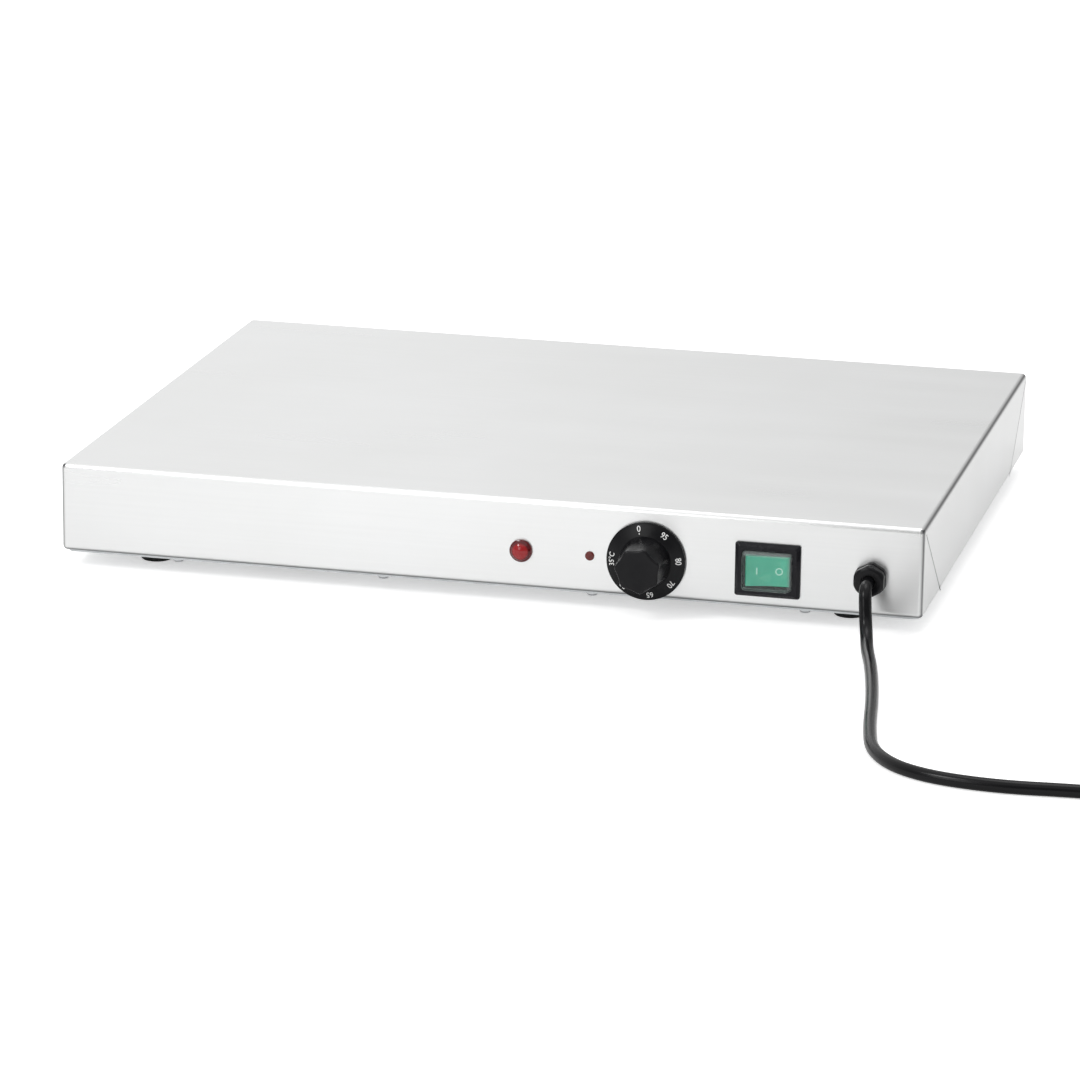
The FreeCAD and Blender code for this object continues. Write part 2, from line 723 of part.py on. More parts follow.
save("lamp_blades", on_panel(blades([(0, -lamp_blade_up), (0, lamp_blade_up)], -lamp_body_length - blade_length,
                                    -lamp_body_length), lamp_x))

# Rocker switch
body = prism(switch_body_width, switch_body_height, -switch_body_depth, 0)
bezel = prism(bezel_width, bezel_height, 0, bezel_thickness)
well = prism(2 * (rocker_radius + rocker_clearance), rocker_height + 2 * rocker_clearance,
             bezel_thickness - well_depth, bezel_thickness)
pivot = V(0, 0, pivot_forward)
half_axle = rocker_height / 2 + trunnion_length


def axle(radius, half_length):
    return Part.makeCylinder(radius, 2 * half_length, pivot - V(0, half_length, 0), V(0, 1, 0))


sockets = axle(trunnion_radius + shaft_clearance, half_axle + 0.1)
save("switch_housing", on_panel(body.fuse(bezel).removeSplitter().cut([well, sockets]), switch_x))
switch_blade_places = [(s * switch_blade_x, t * switch_blade_up)
                       for s in (-1, 1) for t in (-1, 1)]
save("switch_blades", on_panel(blades(switch_blade_places, -switch_body_depth - blade_length,
                                      -switch_body_depth, True), switch_x))


def rocker_point(angle):
    corner = math.radians(angle)
    return V(rocker_radius * math.cos(corner), 0, pivot_forward + rocker_radius * math.sin(corner))


high = rocker_corner_angle
right_end = Part.Arc(rocker_point(high), rocker_point(0), rocker_point(-high))
left_end = Part.Arc(rocker_point(180 + high), rocker_point(180), rocker_point(180 - high))
crown = V(0, 0, rocker_point(high).z - rocker_hollow)
hollow_top = Part.Arc(rocker_point(180 - high), crown, rocker_point(high))
underside = Part.LineSegment(rocker_point(-high), rocker_point(180 + high))
side_view = Part.Wire([s.toShape() for s in (hollow_top, right_end, underside, left_end)])
rocker = Part.Face(side_view).extrude(V(0, rocker_height, 0))
rocker.translate(V(0, -rocker_height / 2, 0))
rocker = rocker.fuse(axle(trunnion_radius, half_axle))
rocker.rotate(pivot, V(0, 1, 0), rocker_tilt)
save("rocker", on_panel(rocker, switch_x))

# Splash cover over the switch
cap_floor = bezel_thickness + cap_flange


def rounded_outline(width, height, radius, z):
    block = prism(width, height, z, z + 1, radius)
    return min(block.Faces, key=lambda f: f.CenterOfMass.z).OuterWire


def tapered(width, height, taper, z0, z1, radius):
    """Block that narrows by the taper on every side, with rounded upright edges."""
    lower = rounded_outline(width, height, radius, z0)
    upper = rounded_outline(width - 2 * taper, height - 2 * taper, radius, z1)
    return Part.makeLoft([lower, upper], True, True)


dome = tapered(cap_width, cap_height, cap_taper, bezel_thickness, cap_reach, cap_corner_radius)
dome = dome.makeFillet(cap_edge, [e for e in dome.Edges if e.BoundBox.ZMin > cap_reach - 0.01])
dome_inside = tapered(cap_width - 2 * cap_wall, cap_height - 2 * cap_wall, cap_taper,
                      bezel_thickness - 0.1, cap_reach - cap_wall, cap_corner_radius - cap_wall)
flange = prism(bezel_width, bezel_height, bezel_thickness, cap_floor)
save("splash_cap", on_panel(flange.fuse(dome).removeSplitter().cut(dome_inside), switch_x))

rim = prism(frame_width, frame_height, 0, frame_thickness - frame_chamfer, frame_corner_radius)
slope = tapered(frame_width, frame_height, frame_chamfer, frame_thickness - frame_chamfer,
                frame_thickness, frame_corner_radius)
pocket = prism(bezel_width + 2 * cap_clearance, bezel_height + 2 * cap_clearance, -1, cap_floor)
window = prism(cap_width + 2 * cap_clearance, cap_height + 2 * cap_clearance, 0, frame_thickness + 1,
               cap_corner_radius)
save("switch_frame", on_panel(rim.fuse(slope).removeSplitter().cut([pocket, window]), switch_x))

# Cable gland
gland_bore_cut = Part.makeCylinder(gland_bore, 40, V(0, 0, -20))
thread = Part.makeCylinder(gland_thread_radius, gland_thread_length, V(0, 0, -gland_thread_length))
stub = Part.makeCylinder(gland_stub_radius, gland_stub_length, V(0, 0, gland_flange_thickness))
gland_flange = hexagon(gland_flange_width, 0, gland_flange_thickness, gland_flange_corner)
save("gland_body", on_panel(gland_flange.fuse([thread, stub]).cut(gland_bore_cut), gland_x))
save("gland_locknut", on_panel(nut(locknut_width, inside - locknut_height, inside,
                                   gland_thread_radius + 0.1), gland_x))
corner_start = nut_face - gland_nut_shoulder
shoulder_arc = Part.Arc(V(gland_nut_corner, 0, corner_start),
                        V(gland_nut_corner - 0.3 * gland_nut_shoulder, 0,
                          nut_face - 0.3 * gland_nut_shoulder),
                        V(gland_nut_corner - gland_nut_shoulder, 0, nut_face)).toShape()
shoulder_line = Part.makePolygon([V(gland_nut_corner - gland_nut_shoulder, 0, nut_face),
                                  V(0, 0, nut_face), V(0, 0, gland_flange_thickness),
                                  V(gland_nut_corner, 0, gland_flange_thickness),
                                  V(gland_nut_corner, 0, corner_start)])
rounding = Part.Face(Part.Wire([shoulder_arc] + shoulder_line.Edges)).revolve(
    V(0, 0, 0), V(0, 0, 1), 360)
cap_nut = hexagon(gland_nut_width, gland_flange_thickness, nut_face, gland_nut_corner)
nut_room = Part.makeCylinder(gland_stub_radius + 0.1, gland_nut_length - gland_lip,
                             V(0, 0, gland_flange_thickness))
nut_mouth = Part.makeCylinder(gland_nut_mouth, 20, V(0, 0, 0))
save("gland_nut", on_panel(cap_nut.common(rounding).cut([nut_room, nut_mouth]), gland_x))
save("gland_seal", on_panel(ring(gland_bore - 0.05, cord_radius + 0.05, 0.5, nut_face - gland_lip),
                            gland_x))

# Supply cord inside the housing, and the terminal block that it feeds
save("cord_inner_end", on_panel(Part.makeCylinder(cord_radius, nut_face + sheet + cord_inside,
                                                  V(0, 0, -sheet - cord_inside)), gland_x))
jacket_y = y_front + sheet + cord_inside
z_way = z_edge + block_height * 0.4
way_x = [block_x + i * block_way_pitch for i in (-1, 0, 1)]
block = box(block_x - block_width / 2, block_x + block_width / 2, block_y, block_y + block_depth,
            z_edge, z_edge + block_height)
ways = [Part.makeCylinder(block_bore, block_depth, V(x, block_y, z_way), V(0, 1, 0)) for x in way_x]
clamp_places = [(x, block_y + share * block_depth) for x in way_x for share in (0.22, 0.78)]
clamp_bores = [post(x, y, block_bore, z_way, z_edge + block_height) for x, y in clamp_places]
block_fixings = [post(x, y, block_screw_radius + 0.05, z_edge, z_edge + block_height)
                 for x, y in block_screw_places]
save("terminal_block", block.cut(ways + clamp_bores + block_fixings))
save("clamp_screws", Part.makeCompound([post(x, y, block_bore - 0.05, z_way + core_radius,
                                             z_edge + block_height - 2) for x, y in clamp_places]))
block_screw = turned([(0, foot_height), (block_screw_radius, foot_height),
                      (block_screw_radius, z_edge + block_height),
                      (2 * block_screw_radius, z_edge + block_height),
                      (2 * block_screw_radius, z_edge + block_height + 1.2),
                      (0, z_edge + block_height + 1.2)])
save("block_screws", Part.makeCompound([at(block_screw, x, y, 0) for x, y in block_screw_places]))

core_x = [gland_x + s * core_pitch / 2 for s in (-1, 0, 1)]
core_rise = [-0.9, 1.4, -0.9]
cores = [lead([V(cx, jacket_y, z_controls + rise), V(cx, jacket_y + 4, z_controls + rise),
               V((cx + wx) / 2, jacket_y + 9, (z_controls + z_way) / 2),
               V(wx, block_y - lead_rise, z_way), V(wx, block_y + lead_in_block, z_way)])
         for cx, wx, rise in zip(core_x, way_x, core_rise)]
save("cord_cores", Part.makeCompound(cores))

# Earth stud
earth_y = y_front + earth_from_front
save("earth_stud", post(earth_x, earth_y, m4_radius, z_edge, z_edge + earth_stud_height))
lug_ring = ring(lug_radius, m4_radius + 0.1, 0, lug_sheet)
tongue = box(0, lug_tongue, -1.5, 1.5, 0, lug_sheet).cut(
    Part.makeCylinder(m4_radius + 0.1, lug_sheet))
barrel = Part.makeCylinder(barrel_radius, barrel_length, V(lug_tongue, 0, barrel_radius),
                           V(1, 0, 0))
save("earth_lug", at(lug_ring.fuse([tongue, barrel]).removeSplitter(), earth_x, earth_y, z_edge))
save("earth_nut", at(nut(nut_width, lug_sheet, lug_sheet + nut_height, m4_nut_bore),
                     earth_x, earth_y, z_edge))

# Supply cord outside
# It leaves the gland, drops to the table, runs forward and turns aside to its coil.
# Each point of the route is (x, forward, height).
cord_route = [
    (0, nut_face, z_controls),
    (0, 16.6, z_controls),
    (0.8, 22.2, 26.4),
    (1.9, 24.6, 15.0),
    (3.9, 31.6, 7.6),
    (6.7, 44.6, cord_radius),
    (14.1, 73.0, cord_radius),
    (24.5, 126.0, cord_radius),
    (32.1, 178.0, cord_radius),
    (41.0, 219.0, cord_radius),
    (65.5, 245.5, cord_radius),
    (107.5, 254.5, cord_radius),
    (153.5, coil_start_forward, cord_radius),
    (coil_centre_x - cord_diameter - gland_x, coil_start_forward, cord_radius),
]
route = [V(gland_x + across, y_front - forward, z) for across, forward, z in cord_route]
run_path, run_radii = round_route(route)
save("cord_run", tube_along(run_path, route[0], route[1] - route[0], cord_radius))
print("cord run radii", [round(r, 1) for r in run_radii])

# Coil
# The cord spirals in on the table, climbs one layer in the half turn where the spiral
# reverses, and spirals out again on top. Each quarter turn is a pair of tangent arcs.
coil_pitch = cord_diameter + coil_gap
coil_centre = V(coil_centre_x, y_front - coil_start_forward + coil_radius, 0)
coil_reverse = (coil_quarters + 1) // 2


def coil_node(k):
    """Point and direction of the cord's centre line after k quarter turns."""
    angle = math.radians(90 * (k - 1))
    depth = min(k, 2 * coil_reverse - k)
    radius = coil_radius - coil_pitch * depth / 4
    inner_rate = coil_pitch / (2 * math.pi)
    rate = 0.0 if k in (0, coil_reverse, coil_quarters) else inner_rate
    rate = -rate if k < coil_reverse else rate
    layer_share = min(max((k - coil_reverse + 1) / 2, 0), 1)
    height = cord_radius + coil_pitch * layer_share
    climb = 2 * coil_pitch / math.pi if k == coil_reverse else 0.0
    out = V(math.cos(angle), math.sin(angle), 0)
    round_about = V(-math.sin(angle), math.cos(angle), 0)
    direction = round_about * radius + out * rate + V(0, 0, climb)
    direction.normalize()
    return coil_centre + out * radius + V(0, 0, height), direction


def arc_from(start, direction, end):
    """Arc that leaves start in a direction and ends at a point."""
    chord = end - start
    unit = V(chord.x, chord.y, chord.z)
    unit.normalize()
    bulge = direction - unit * direction.dot(unit)
    lean = direction.getAngle(unit)
    bulge.normalize()
    middle = (start + end) * 0.5 + bulge * (chord.Length / 2 * math.tan(lean / 2))
    return Part.Arc(start, middle, end)


def biarc(start, along, end, onward):
    """Two tangent arcs from one point and direction to another, with equal end lengths."""
    chord = end - start
    both = along + onward
    a = 2 * (1 - along.dot(onward))
    b = chord.dot(both)
    reach = (math.sqrt(b * b + a * chord.dot(chord)) - b) / a
    middle = (start + along * reach + end - onward * reach) * 0.5
    first = arc_from(start, along, middle)
    back = arc_from(end, onward * -1, middle)
    second = Part.Arc(middle, back.value((back.FirstParameter + back.LastParameter) / 2), end)
    return [first, second]


nodes = [coil_node(k) for k in range(coil_quarters + 1)]
(coil_start, start_direction), (coil_end, end_direction) = nodes[0], nodes[-1]
coil_arcs = [arc for (p, d), (q, e) in zip(nodes, nodes[1:]) for arc in biarc(p, d, q, e)]
coil_entry = coil_start - start_direction * cord_diameter
coil_exit = coil_end + end_direction * cord_diameter
coil_path = Part.Wire([Part.LineSegment(coil_entry, coil_start).toShape()]
                      + [arc.toShape() for arc in coil_arcs]
                      + [Part.LineSegment(coil_end, coil_exit).toShape()])
save("cord_coil", tube_along(coil_path, coil_entry, start_direction, cord_radius))


def least_gap(arcs):
    """Least room between turns, measured on points along the centre line."""
    points = [arc.value(arc.FirstParameter + (arc.LastParameter - arc.FirstParameter) * i / 6)
              for arc in arcs for i in range(6)]
    apart = 15  # points that are further along than this belong to another turn
    return min((p - q).Length for i, p in enumerate(points) for q in points[i + apart:]) - cord_diameter


print("coil least gap", round(least_gap(coil_arcs), 2), "length", round(coil_path.Length))

# Tail of the cord and its plug
# The plug lies on its side behind the coil, so the tail rises to the plug's axis.
tail_points = [
    coil_exit,
    coil_exit + V(0, 16, 0),
    V(coil_exit.x, coil_exit.y + 42, plug_radius),
    V(coil_exit.x, coil_exit.y + 60, plug_radius),
]
tail_path, tail_radii = round_route(tail_points)
save("cord_tail", tube_along(tail_path, tail_points[0], V(0, 1, 0), cord_radius))
print("cord tail radii", [round(r, 1) for r in tail_radii])
print("cord length", round(run_path.Length + coil_path.Length + tail_path.Length))


def on_plug(shape):
    """Turns a shape made about Z to lie along +Y from the end of the cord."""
    moved = shape.copy()
    moved.rotate(V(0, 0, 0), V(1, 0, 0), -90)
    moved.translate(tail_points[-1])
    return moved


face_start = plug_length - plug_face_length
groove_pitch = (relief_length - 6) / relief_grooves
relief = turned([(0, 0), (relief_radius, 0), (relief_root_radius, relief_length), (0, relief_length)])
for i in range(relief_grooves):
    groove_start = 4 + i * groove_pitch
    relief = relief.cut(ring(20, relief_radius - relief_groove_depth, groove_start,
                             groove_start + groove_pitch / 2))
waist_arc = Part.Arc(V(relief_root_radius, 0, relief_length),
                     V(plug_waist_radius, 0, (relief_length + face_start) / 2 - 3),
                     V(plug_radius, 0, face_start)).toShape()
grip_line = Part.makePolygon([V(plug_radius, 0, face_start), V(plug_radius, 0, plug_length - 0.8),
                              V(plug_radius - 0.8, 0, plug_length), V(0, 0, plug_length),
                              V(0, 0, relief_length), V(relief_root_radius, 0, relief_length)])
plug = Part.Face(Part.Wire([waist_arc] + grip_line.Edges)).revolve(V(0, 0, 0), V(0, 0, 1), 360)
strip_start = plug_length - earth_strip_length
strips = [box(-earth_strip_width / 2, earth_strip_width / 2, s - 10, s + 10, strip_start, plug_length + 1)
          for s in (plug_radius - earth_strip_depth + 10, earth_strip_depth - plug_radius - 10)]
earth_hole = Part.makeCylinder(earth_hole_radius, 14, V(0, earth_hole_offset, plug_length - 14))
plug = plug.fuse(relief).cut(strips + [earth_hole])
save("plug_body", on_plug(plug))
plug_pin = turned([(0, 0), (pin_radius, 0), (pin_radius, pin_length - pin_taper),
                   (pin_radius - pin_taper * 0.6, pin_length), (0, pin_length)])
save("plug_pins", on_plug(Part.makeCompound([at(plug_pin, s * pin_pitch / 2, 0, plug_length)
                                             for s in (-1, 1)])))
clips = [box(-earth_strip_width / 2 + 0.6, earth_strip_width / 2 - 0.6, min(a, b), max(a, b),
             strip_start + 1, plug_length - 1)
         for a, b in [(s * (plug_radius - earth_strip_depth),
                       s * (plug_radius - earth_strip_depth + earth_clip_sheet)) for s in (-1, 1)]]
save("plug_earth_clips", on_plug(Part.makeCompound(clips)))

# Inner wiring, led through the control bay
# Each lead is given by points (x, distance behind the panel, height).
def bay_lead(points):
    return lead([V(x, y_front + behind, z) for x, behind, z in points])


switch_tip = switch_body_depth + blade_length
thermostat_tip = thermostat_back + blade_length
lamp_tip = lamp_body_length + blade_length
block_back = block_from_front + block_depth
switch_left, switch_right = switch_x - switch_blade_x, switch_x + switch_blade_x
thermostat_left, thermostat_right = dial_x - thermostat_blade_x, dial_x + thermostat_blade_x
z_low, z_high = z_controls - thermostat_blade_up, z_controls + thermostat_blade_up
mat_front = control_bay + mat_inset
switch_lead_places = [(-switch_blade_up, way_x[1]), (switch_blade_up, way_x[2])]
save("switch_leads", Part.makeCompound([
    bay_lead([(switch_right, switch_tip, z_controls + up),
              (switch_right, switch_tip + lead_run, z_controls + up),
              (x - 2 * lead_run, block_back + way_run + lead_rise, z_way + 2 * lead_rise),
              (x, block_back + way_run, z_way), (x, block_back - lead_in_block, z_way)])
    for up, x in switch_lead_places]))
first_port, second_port = heater_lead_places
z_upper_blade, z_lower_blade = z_controls + switch_blade_up, z_controls - switch_blade_up
save("heater_leads", Part.makeCompound([
    bay_lead([(first_port, mat_front, z_heater_lead), (first_port, front_lane, z_heater_lead),
              (thermostat_left, front_lane, z_low), (thermostat_left, thermostat_tip, z_low)]),
    bay_lead([(second_port, mat_front, z_heater_lead), (second_port, rear_lane, z_heater_lead),
              (second_port + lead_side + lead_run, rear_lane, z_controls + lead_rise),
              (switch_left - lead_side, rear_lane, z_controls - lead_rise / 2),
              (switch_left, (front_lane + rear_lane) / 2, z_lower_blade),
              (switch_left, switch_tip, z_lower_blade)])]))
save("thermostat_lead", bay_lead([
    (switch_left, switch_tip, z_upper_blade), (switch_left, switch_tip + lead_run, z_upper_blade),
    (switch_left - 4 * lead_run, front_lane, z_controls + lead_rise / 2),
    (thermostat_right, front_lane - lead_rise / 2, z_low),
    (thermostat_right, thermostat_tip, z_low)]))
z_lamp_upper, z_lamp_lower = z_controls + lamp_blade_up, z_controls - lamp_blade_up
save("lamp_leads", Part.makeCompound([
    bay_lead([(lamp_x, lamp_tip, z_lamp_upper), (lamp_x, lamp_tip + lead_run, z_lamp_upper),
              (lamp_x + 5 * lead_run, lamp_tip + 2 * lead_rise, z_controls + lead_run),
              (thermostat_left, lamp_tip + 2 * lead_rise, z_high),
              (thermostat_left, thermostat_tip, z_high)]),
    bay_lead([(lamp_x, lamp_tip, z_lamp_lower), (lamp_x, lamp_tip + 1.2 * lead_run, z_lamp_lower),
              (lamp_x + 6 * lead_run, lamp_tip + 1.2 * lead_run, z_controls - lead_rise / 2),
              (dial_x, lamp_tip + 1.2 * lead_run, z_controls + lead_rise / 2),
              (thermostat_right, lamp_tip + 1.2 * lead_run, z_high),
              (thermostat_right, thermostat_tip, z_high)])]))
z_barrel = z_edge + barrel_radius
lug_end = earth_x + lug_tongue + barrel_length
save("earth_lead", bay_lead([
    (lug_end, earth_from_front, z_barrel), (lug_end + 2 * lead_rise, earth_from_front, z_barrel),
    (way_x[0] - 2 * lead_rise, earth_from_front + 2.5 * lead_run, z_way - lead_rise / 3),
    (way_x[0] - lead_rise, block_back + 4 * lead_rise, z_way),
    (way_x[0], block_back + way_run, z_way), (way_x[0], block_back - lead_in_block, z_way)]))
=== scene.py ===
import json
import math

import bmesh
import bpy
import numpy as np
from mathutils import Matrix, Vector


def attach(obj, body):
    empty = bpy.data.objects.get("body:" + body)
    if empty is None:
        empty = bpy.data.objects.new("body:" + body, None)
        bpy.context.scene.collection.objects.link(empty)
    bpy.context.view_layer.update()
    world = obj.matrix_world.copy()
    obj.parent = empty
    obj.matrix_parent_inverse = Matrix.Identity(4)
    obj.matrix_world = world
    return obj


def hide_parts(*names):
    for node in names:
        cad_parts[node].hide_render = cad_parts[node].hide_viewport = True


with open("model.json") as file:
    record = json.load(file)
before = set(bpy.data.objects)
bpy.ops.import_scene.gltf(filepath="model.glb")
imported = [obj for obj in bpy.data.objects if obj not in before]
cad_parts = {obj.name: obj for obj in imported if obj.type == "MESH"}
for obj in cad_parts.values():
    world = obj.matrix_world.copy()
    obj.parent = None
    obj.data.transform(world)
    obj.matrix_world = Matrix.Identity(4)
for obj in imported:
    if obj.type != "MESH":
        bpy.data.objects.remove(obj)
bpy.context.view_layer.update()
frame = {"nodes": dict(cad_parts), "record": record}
scene = bpy.context.scene
nodes = frame["nodes"]

# Camera
# A long lens stands to the right and above the front panel and looks slightly down,
# so that the top, the front and a sliver of the right side show.
yaw, pitch, roll = (math.radians(a) for a in (13.71, 15.95, 0.68))
right = Vector((math.cos(yaw), math.sin(yaw), 0))
ahead = Vector((-math.sin(yaw) * math.cos(pitch), math.cos(yaw) * math.cos(pitch),
                -math.sin(pitch)))
above = right.cross(ahead)
right, above = (right * math.cos(roll) + above * math.sin(roll),
                above * math.cos(roll) - right * math.sin(roll))
lens = bpy.data.cameras.new("camera")
lens.sensor_width = 36
lens.lens = 5061 / 1080 * 36
camera = bpy.data.objects.new("camera", lens)
turn = Matrix((right, above, -ahead)).transposed().to_4x4()
camera.matrix_world = Matrix.Translation((0.67777, -2.81888, 0.81678)) @ turn
scene.collection.objects.link(camera)
scene.camera = camera

# Supply cord
# A round two-core mains lead with earth and a glossy black jacket. It drops from the gland,
# lies across the table and is wound up beside the tray, with its plug at the end.
panel_y = -0.173
cord_width = 0.0071
cord_z = cord_width / 2
run_points = [(0.2205, 9.2, 31.5), (0.2205, 16.6, 31.5), (0.2213, 22.2, 26.4),
              (0.2224, 24.6, 15.0), (0.2244, 31.6, 7.6), (0.2272, 44.6, 3.55),
              (0.2346, 73.0, 3.55), (0.2450, 126.0, 3.55), (0.2526, 178.0, 3.55),
              (0.2615, 219.0, 3.55), (0.2860, 245.5, 3.55), (0.3280, 254.5, 3.55),
              (0.3740, 249.6, 3.55), (0.4179, 249.6, 3.55)]
run = np.array([(x, panel_y - forward / 1000, z / 1000) for x, forward, z in run_points])


def coil(quarters, per_quarter, radius, pitch, centre, layer):
    """Control points of the coil.

    Angle grows evenly. The radius falls by one pitch a turn up to the middle and grows
    again after it, and the height rises by one layer in the half turn at the middle.
    The radius is divided by the cosine of half a step, because the spline runs inside its points.
    """
    q = np.linspace(0, quarters, quarters * per_quarter + 1)
    angle = (q - 1) * math.pi / 2
    middle = (quarters + 1) / 2
    depth = np.minimum(q, 2 * middle - q)
    r = (radius - pitch * depth / 4) / math.cos(math.pi / 4 / per_quarter)
    rise = np.clip((q - middle + 1) / 2, 0, 1)
    z = cord_z + layer * rise * rise * (3 - 2 * rise)
    return np.stack([centre[0] + r * np.cos(angle), centre[1] + r * np.sin(angle), z], axis=1)


turns = coil(25, 4, 0.047, 0.0079, (0.425, -0.3756), 0.0079)
coil_end = (0.470025, -0.3685, 0.01145)
tail = np.array([coil_end, (0.470025, -0.3525, 0.01145), (0.470025, -0.3265, 0.0188),
                 (0.470025, -0.3085, 0.0188)])
cord_points = np.concatenate([run, turns, tail])
cord_curve = bpy.data.curves.new("supply_cord", "CURVE")
cord_curve.dimensions = "3D"
spline = cord_curve.splines.new("NURBS")
spline.points.add(len(cord_points) - 1)
spline.points.foreach_set("co", np.c_[cord_points, np.ones(len(cord_points))].ravel())
spline.order_u = 3
spline.use_endpoint_u = True
spline.resolution_u = 8
cord_curve.bevel_depth = cord_width / 2
cord_curve.bevel_resolution = 6
cord_curve.use_fill_caps = True
cord = bpy.data.objects.new("supply_cord", cord_curve)
scene.collection.objects.link(cord)


def effect(name, inputs, outputs):
    """Empty shader node group with named float or vector inputs and outputs."""
    group = bpy.data.node_groups.new(name, "ShaderNodeTree")
    for label, kind, value in inputs:
        socket = group.interface.new_socket(label, in_out="INPUT", socket_type="NodeSocket" + kind)
        if value is not None:
            socket.default_value = value
    for label, kind in outputs:
        group.interface.new_socket(label, in_out="OUTPUT", socket_type="NodeSocket" + kind)
    return group, group.nodes.new("NodeGroupInput"), group.nodes.new("NodeGroupOutput")


def node(tree, kind, links=(), **settings):
    """Adds a shader node. Settings are its properties, and links are (input, value or socket)."""
    made = tree.nodes.new("ShaderNode" + kind)
    for key, value in settings.items():
        setattr(made, key, value)
    for key, value in links:
        if isinstance(value, bpy.types.NodeSocket):
            tree.links.new(value, made.inputs[key])
        else:
            made.inputs[key].default_value = value
    return made


# Mottle: soft cloudy noise on the piece's own coordinates, spread over 0 to 1.
mottle, given, out = effect("mottle", [("Scale", "Float", 50.0), ("Contrast", "Float", 0.2)],
                            [("Value", "Float")])
place = node(mottle, "TexCoord")
cloud = node(mottle, "TexNoise", [("Vector", place.outputs["Object"]),
                                  ("Scale", given.outputs["Scale"]), ("Detail", 4.0)])
low = node(mottle, "Math", [(0, 0.5), (1, given.outputs["Contrast"])], operation="SUBTRACT")
high = node(mottle, "Math", [(0, 0.5), (1, given.outputs["Contrast"])], operation="ADD")
spread = node(mottle, "MapRange", [("Value", cloud.outputs["Fac"]), ("From Min", low.outputs[0]),
                                   ("From Max", high.outputs[0])])
mottle.links.new(spread.outputs["Result"], out.inputs["Value"])


def finish(name, colour, other, roughness, metallic=0.0, scale=60.0, bump_scale=900.0,
           bump=0.02, roughness_spread=0.06, **constants):
    """Material of one colour that clouds into another, with fine bump and uneven roughness."""
    made = bpy.data.materials.new(name)
    made.use_nodes = True
    tree = made.node_tree
    shader = tree.nodes["Principled BSDF"]
    shader.inputs["Metallic"].default_value = metallic
    for key, value in constants.items():
        shader.inputs[key.replace("_", " ")].default_value = value
    broad = node(tree, "Group", node_tree=mottle)
    broad.inputs["Scale"].default_value = scale
    fine = node(tree, "Group", node_tree=mottle)
    fine.inputs["Scale"].default_value = bump_scale
    tint = node(tree, "Mix", [(0, broad.outputs[0]), (6, (*colour, 1)), (7, (*other, 1))],
                data_type="RGBA")
    rough = node(tree, "MapRange", [("Value", broad.outputs[0]),
                                    ("To Min", max(0.02, roughness - roughness_spread)),
                                    ("To Max", roughness + roughness_spread)])
    relief = node(tree, "Bump", [("Strength", bump * 10), ("Distance", 0.0001),
                                 ("Height", fine.outputs[0])])
    tree.links.new(tint.outputs[2], shader.inputs["Base Color"])
    tree.links.new(rough.outputs[0], shader.inputs["Roughness"])
    tree.links.new(relief.outputs[0], shader.inputs["Normal"])
    return made


jacket = finish("cord_jacket", (0.003, 0.003, 0.0035), (0.005, 0.005, 0.006), 0.22, scale=35,
                bump_scale=400, bump=0.0, roughness_spread=0.005, Specular_IOR_Level=0.2)
cord.data.materials.append(jacket)
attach(cord, "tray")
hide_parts("cord_run", "cord_coil", "cord_tail")


def from_solid(name, sources, paint, body, sharp=32):
    """Piece with the outline of CAD nodes: their triangles are joined at common corners,
    edges sharper than the given angle stay crisp, and the rest shades smoothly."""
    mesh = bpy.data.meshes.new(name)
    gathered = bmesh.new()
    for source in sources:
        gathered.from_mesh(nodes[source].data)
    bmesh.ops.remove_doubles(gathered, verts=gathered.verts, dist=1e-6)
    bmesh.ops.dissolve_degenerate(gathered, dist=1e-7, edges=gathered.edges)
    limit = math.radians(sharp)
    for edge in gathered.edges:
        edge.smooth = len(edge.link_faces) == 2 and edge.calc_face_angle(0) < limit
    for face in gathered.faces:
        face.smooth = True
    gathered.to_mesh(mesh)
    gathered.free()
    piece = bpy.data.objects.new(name, mesh)
    scene.collection.objects.link(piece)
    even = piece.modifiers.new("flat_faces_stay_flat", "WEIGHTED_NORMAL")
    even.keep_sharp = True
    mesh.materials.append(paint)
    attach(piece, body)
    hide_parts(*sources)
    return piece


# Plug
# A straight round two-pin mains plug, moulded on the cord in the same black plastic,
# with nickel-plated pins and side earth contacts.
plug_paint = finish("plug_moulding", (0.005, 0.005, 0.006), (0.010, 0.010, 0.011), 0.34, scale=60,
                    bump_scale=1500, bump=0.05)
plug = from_solid("plug", ["plug_body"], plug_paint, "tray")
pin_metal = finish("plated_pins", (0.62, 0.61, 0.58), (0.72, 0.71, 0.68), 0.22, metallic=1.0,
                   scale=150)
pins = from_solid("pins", ["plug_pins", "plug_earth_clips"], pin_metal, "tray")


def grid_mesh(name, points, closed_u=False, closed_v=False, smooth=True):
    """Mesh of quads over an array of points [u, v, 3]; closed directions join last to first."""
    rows, columns = points.shape[:2]
    index = np.arange(rows * columns).reshape(rows, columns)
    if closed_u:
        index = np.concatenate([index, index[:1]])
    if closed_v:
        index = np.concatenate([index, index[:, :1]], axis=1)
    quads = np.stack([index[:-1, :-1], index[1:, :-1], index[1:, 1:], index[:-1, 1:]], axis=-1)
    mesh = bpy.data.meshes.new(name)
    mesh.from_pydata(points.reshape(-1, 3).tolist(), [], quads.reshape(-1, 4).tolist())
    mesh.polygons.foreach_set("use_smooth", [smooth] * len(mesh.polygons))
    return mesh


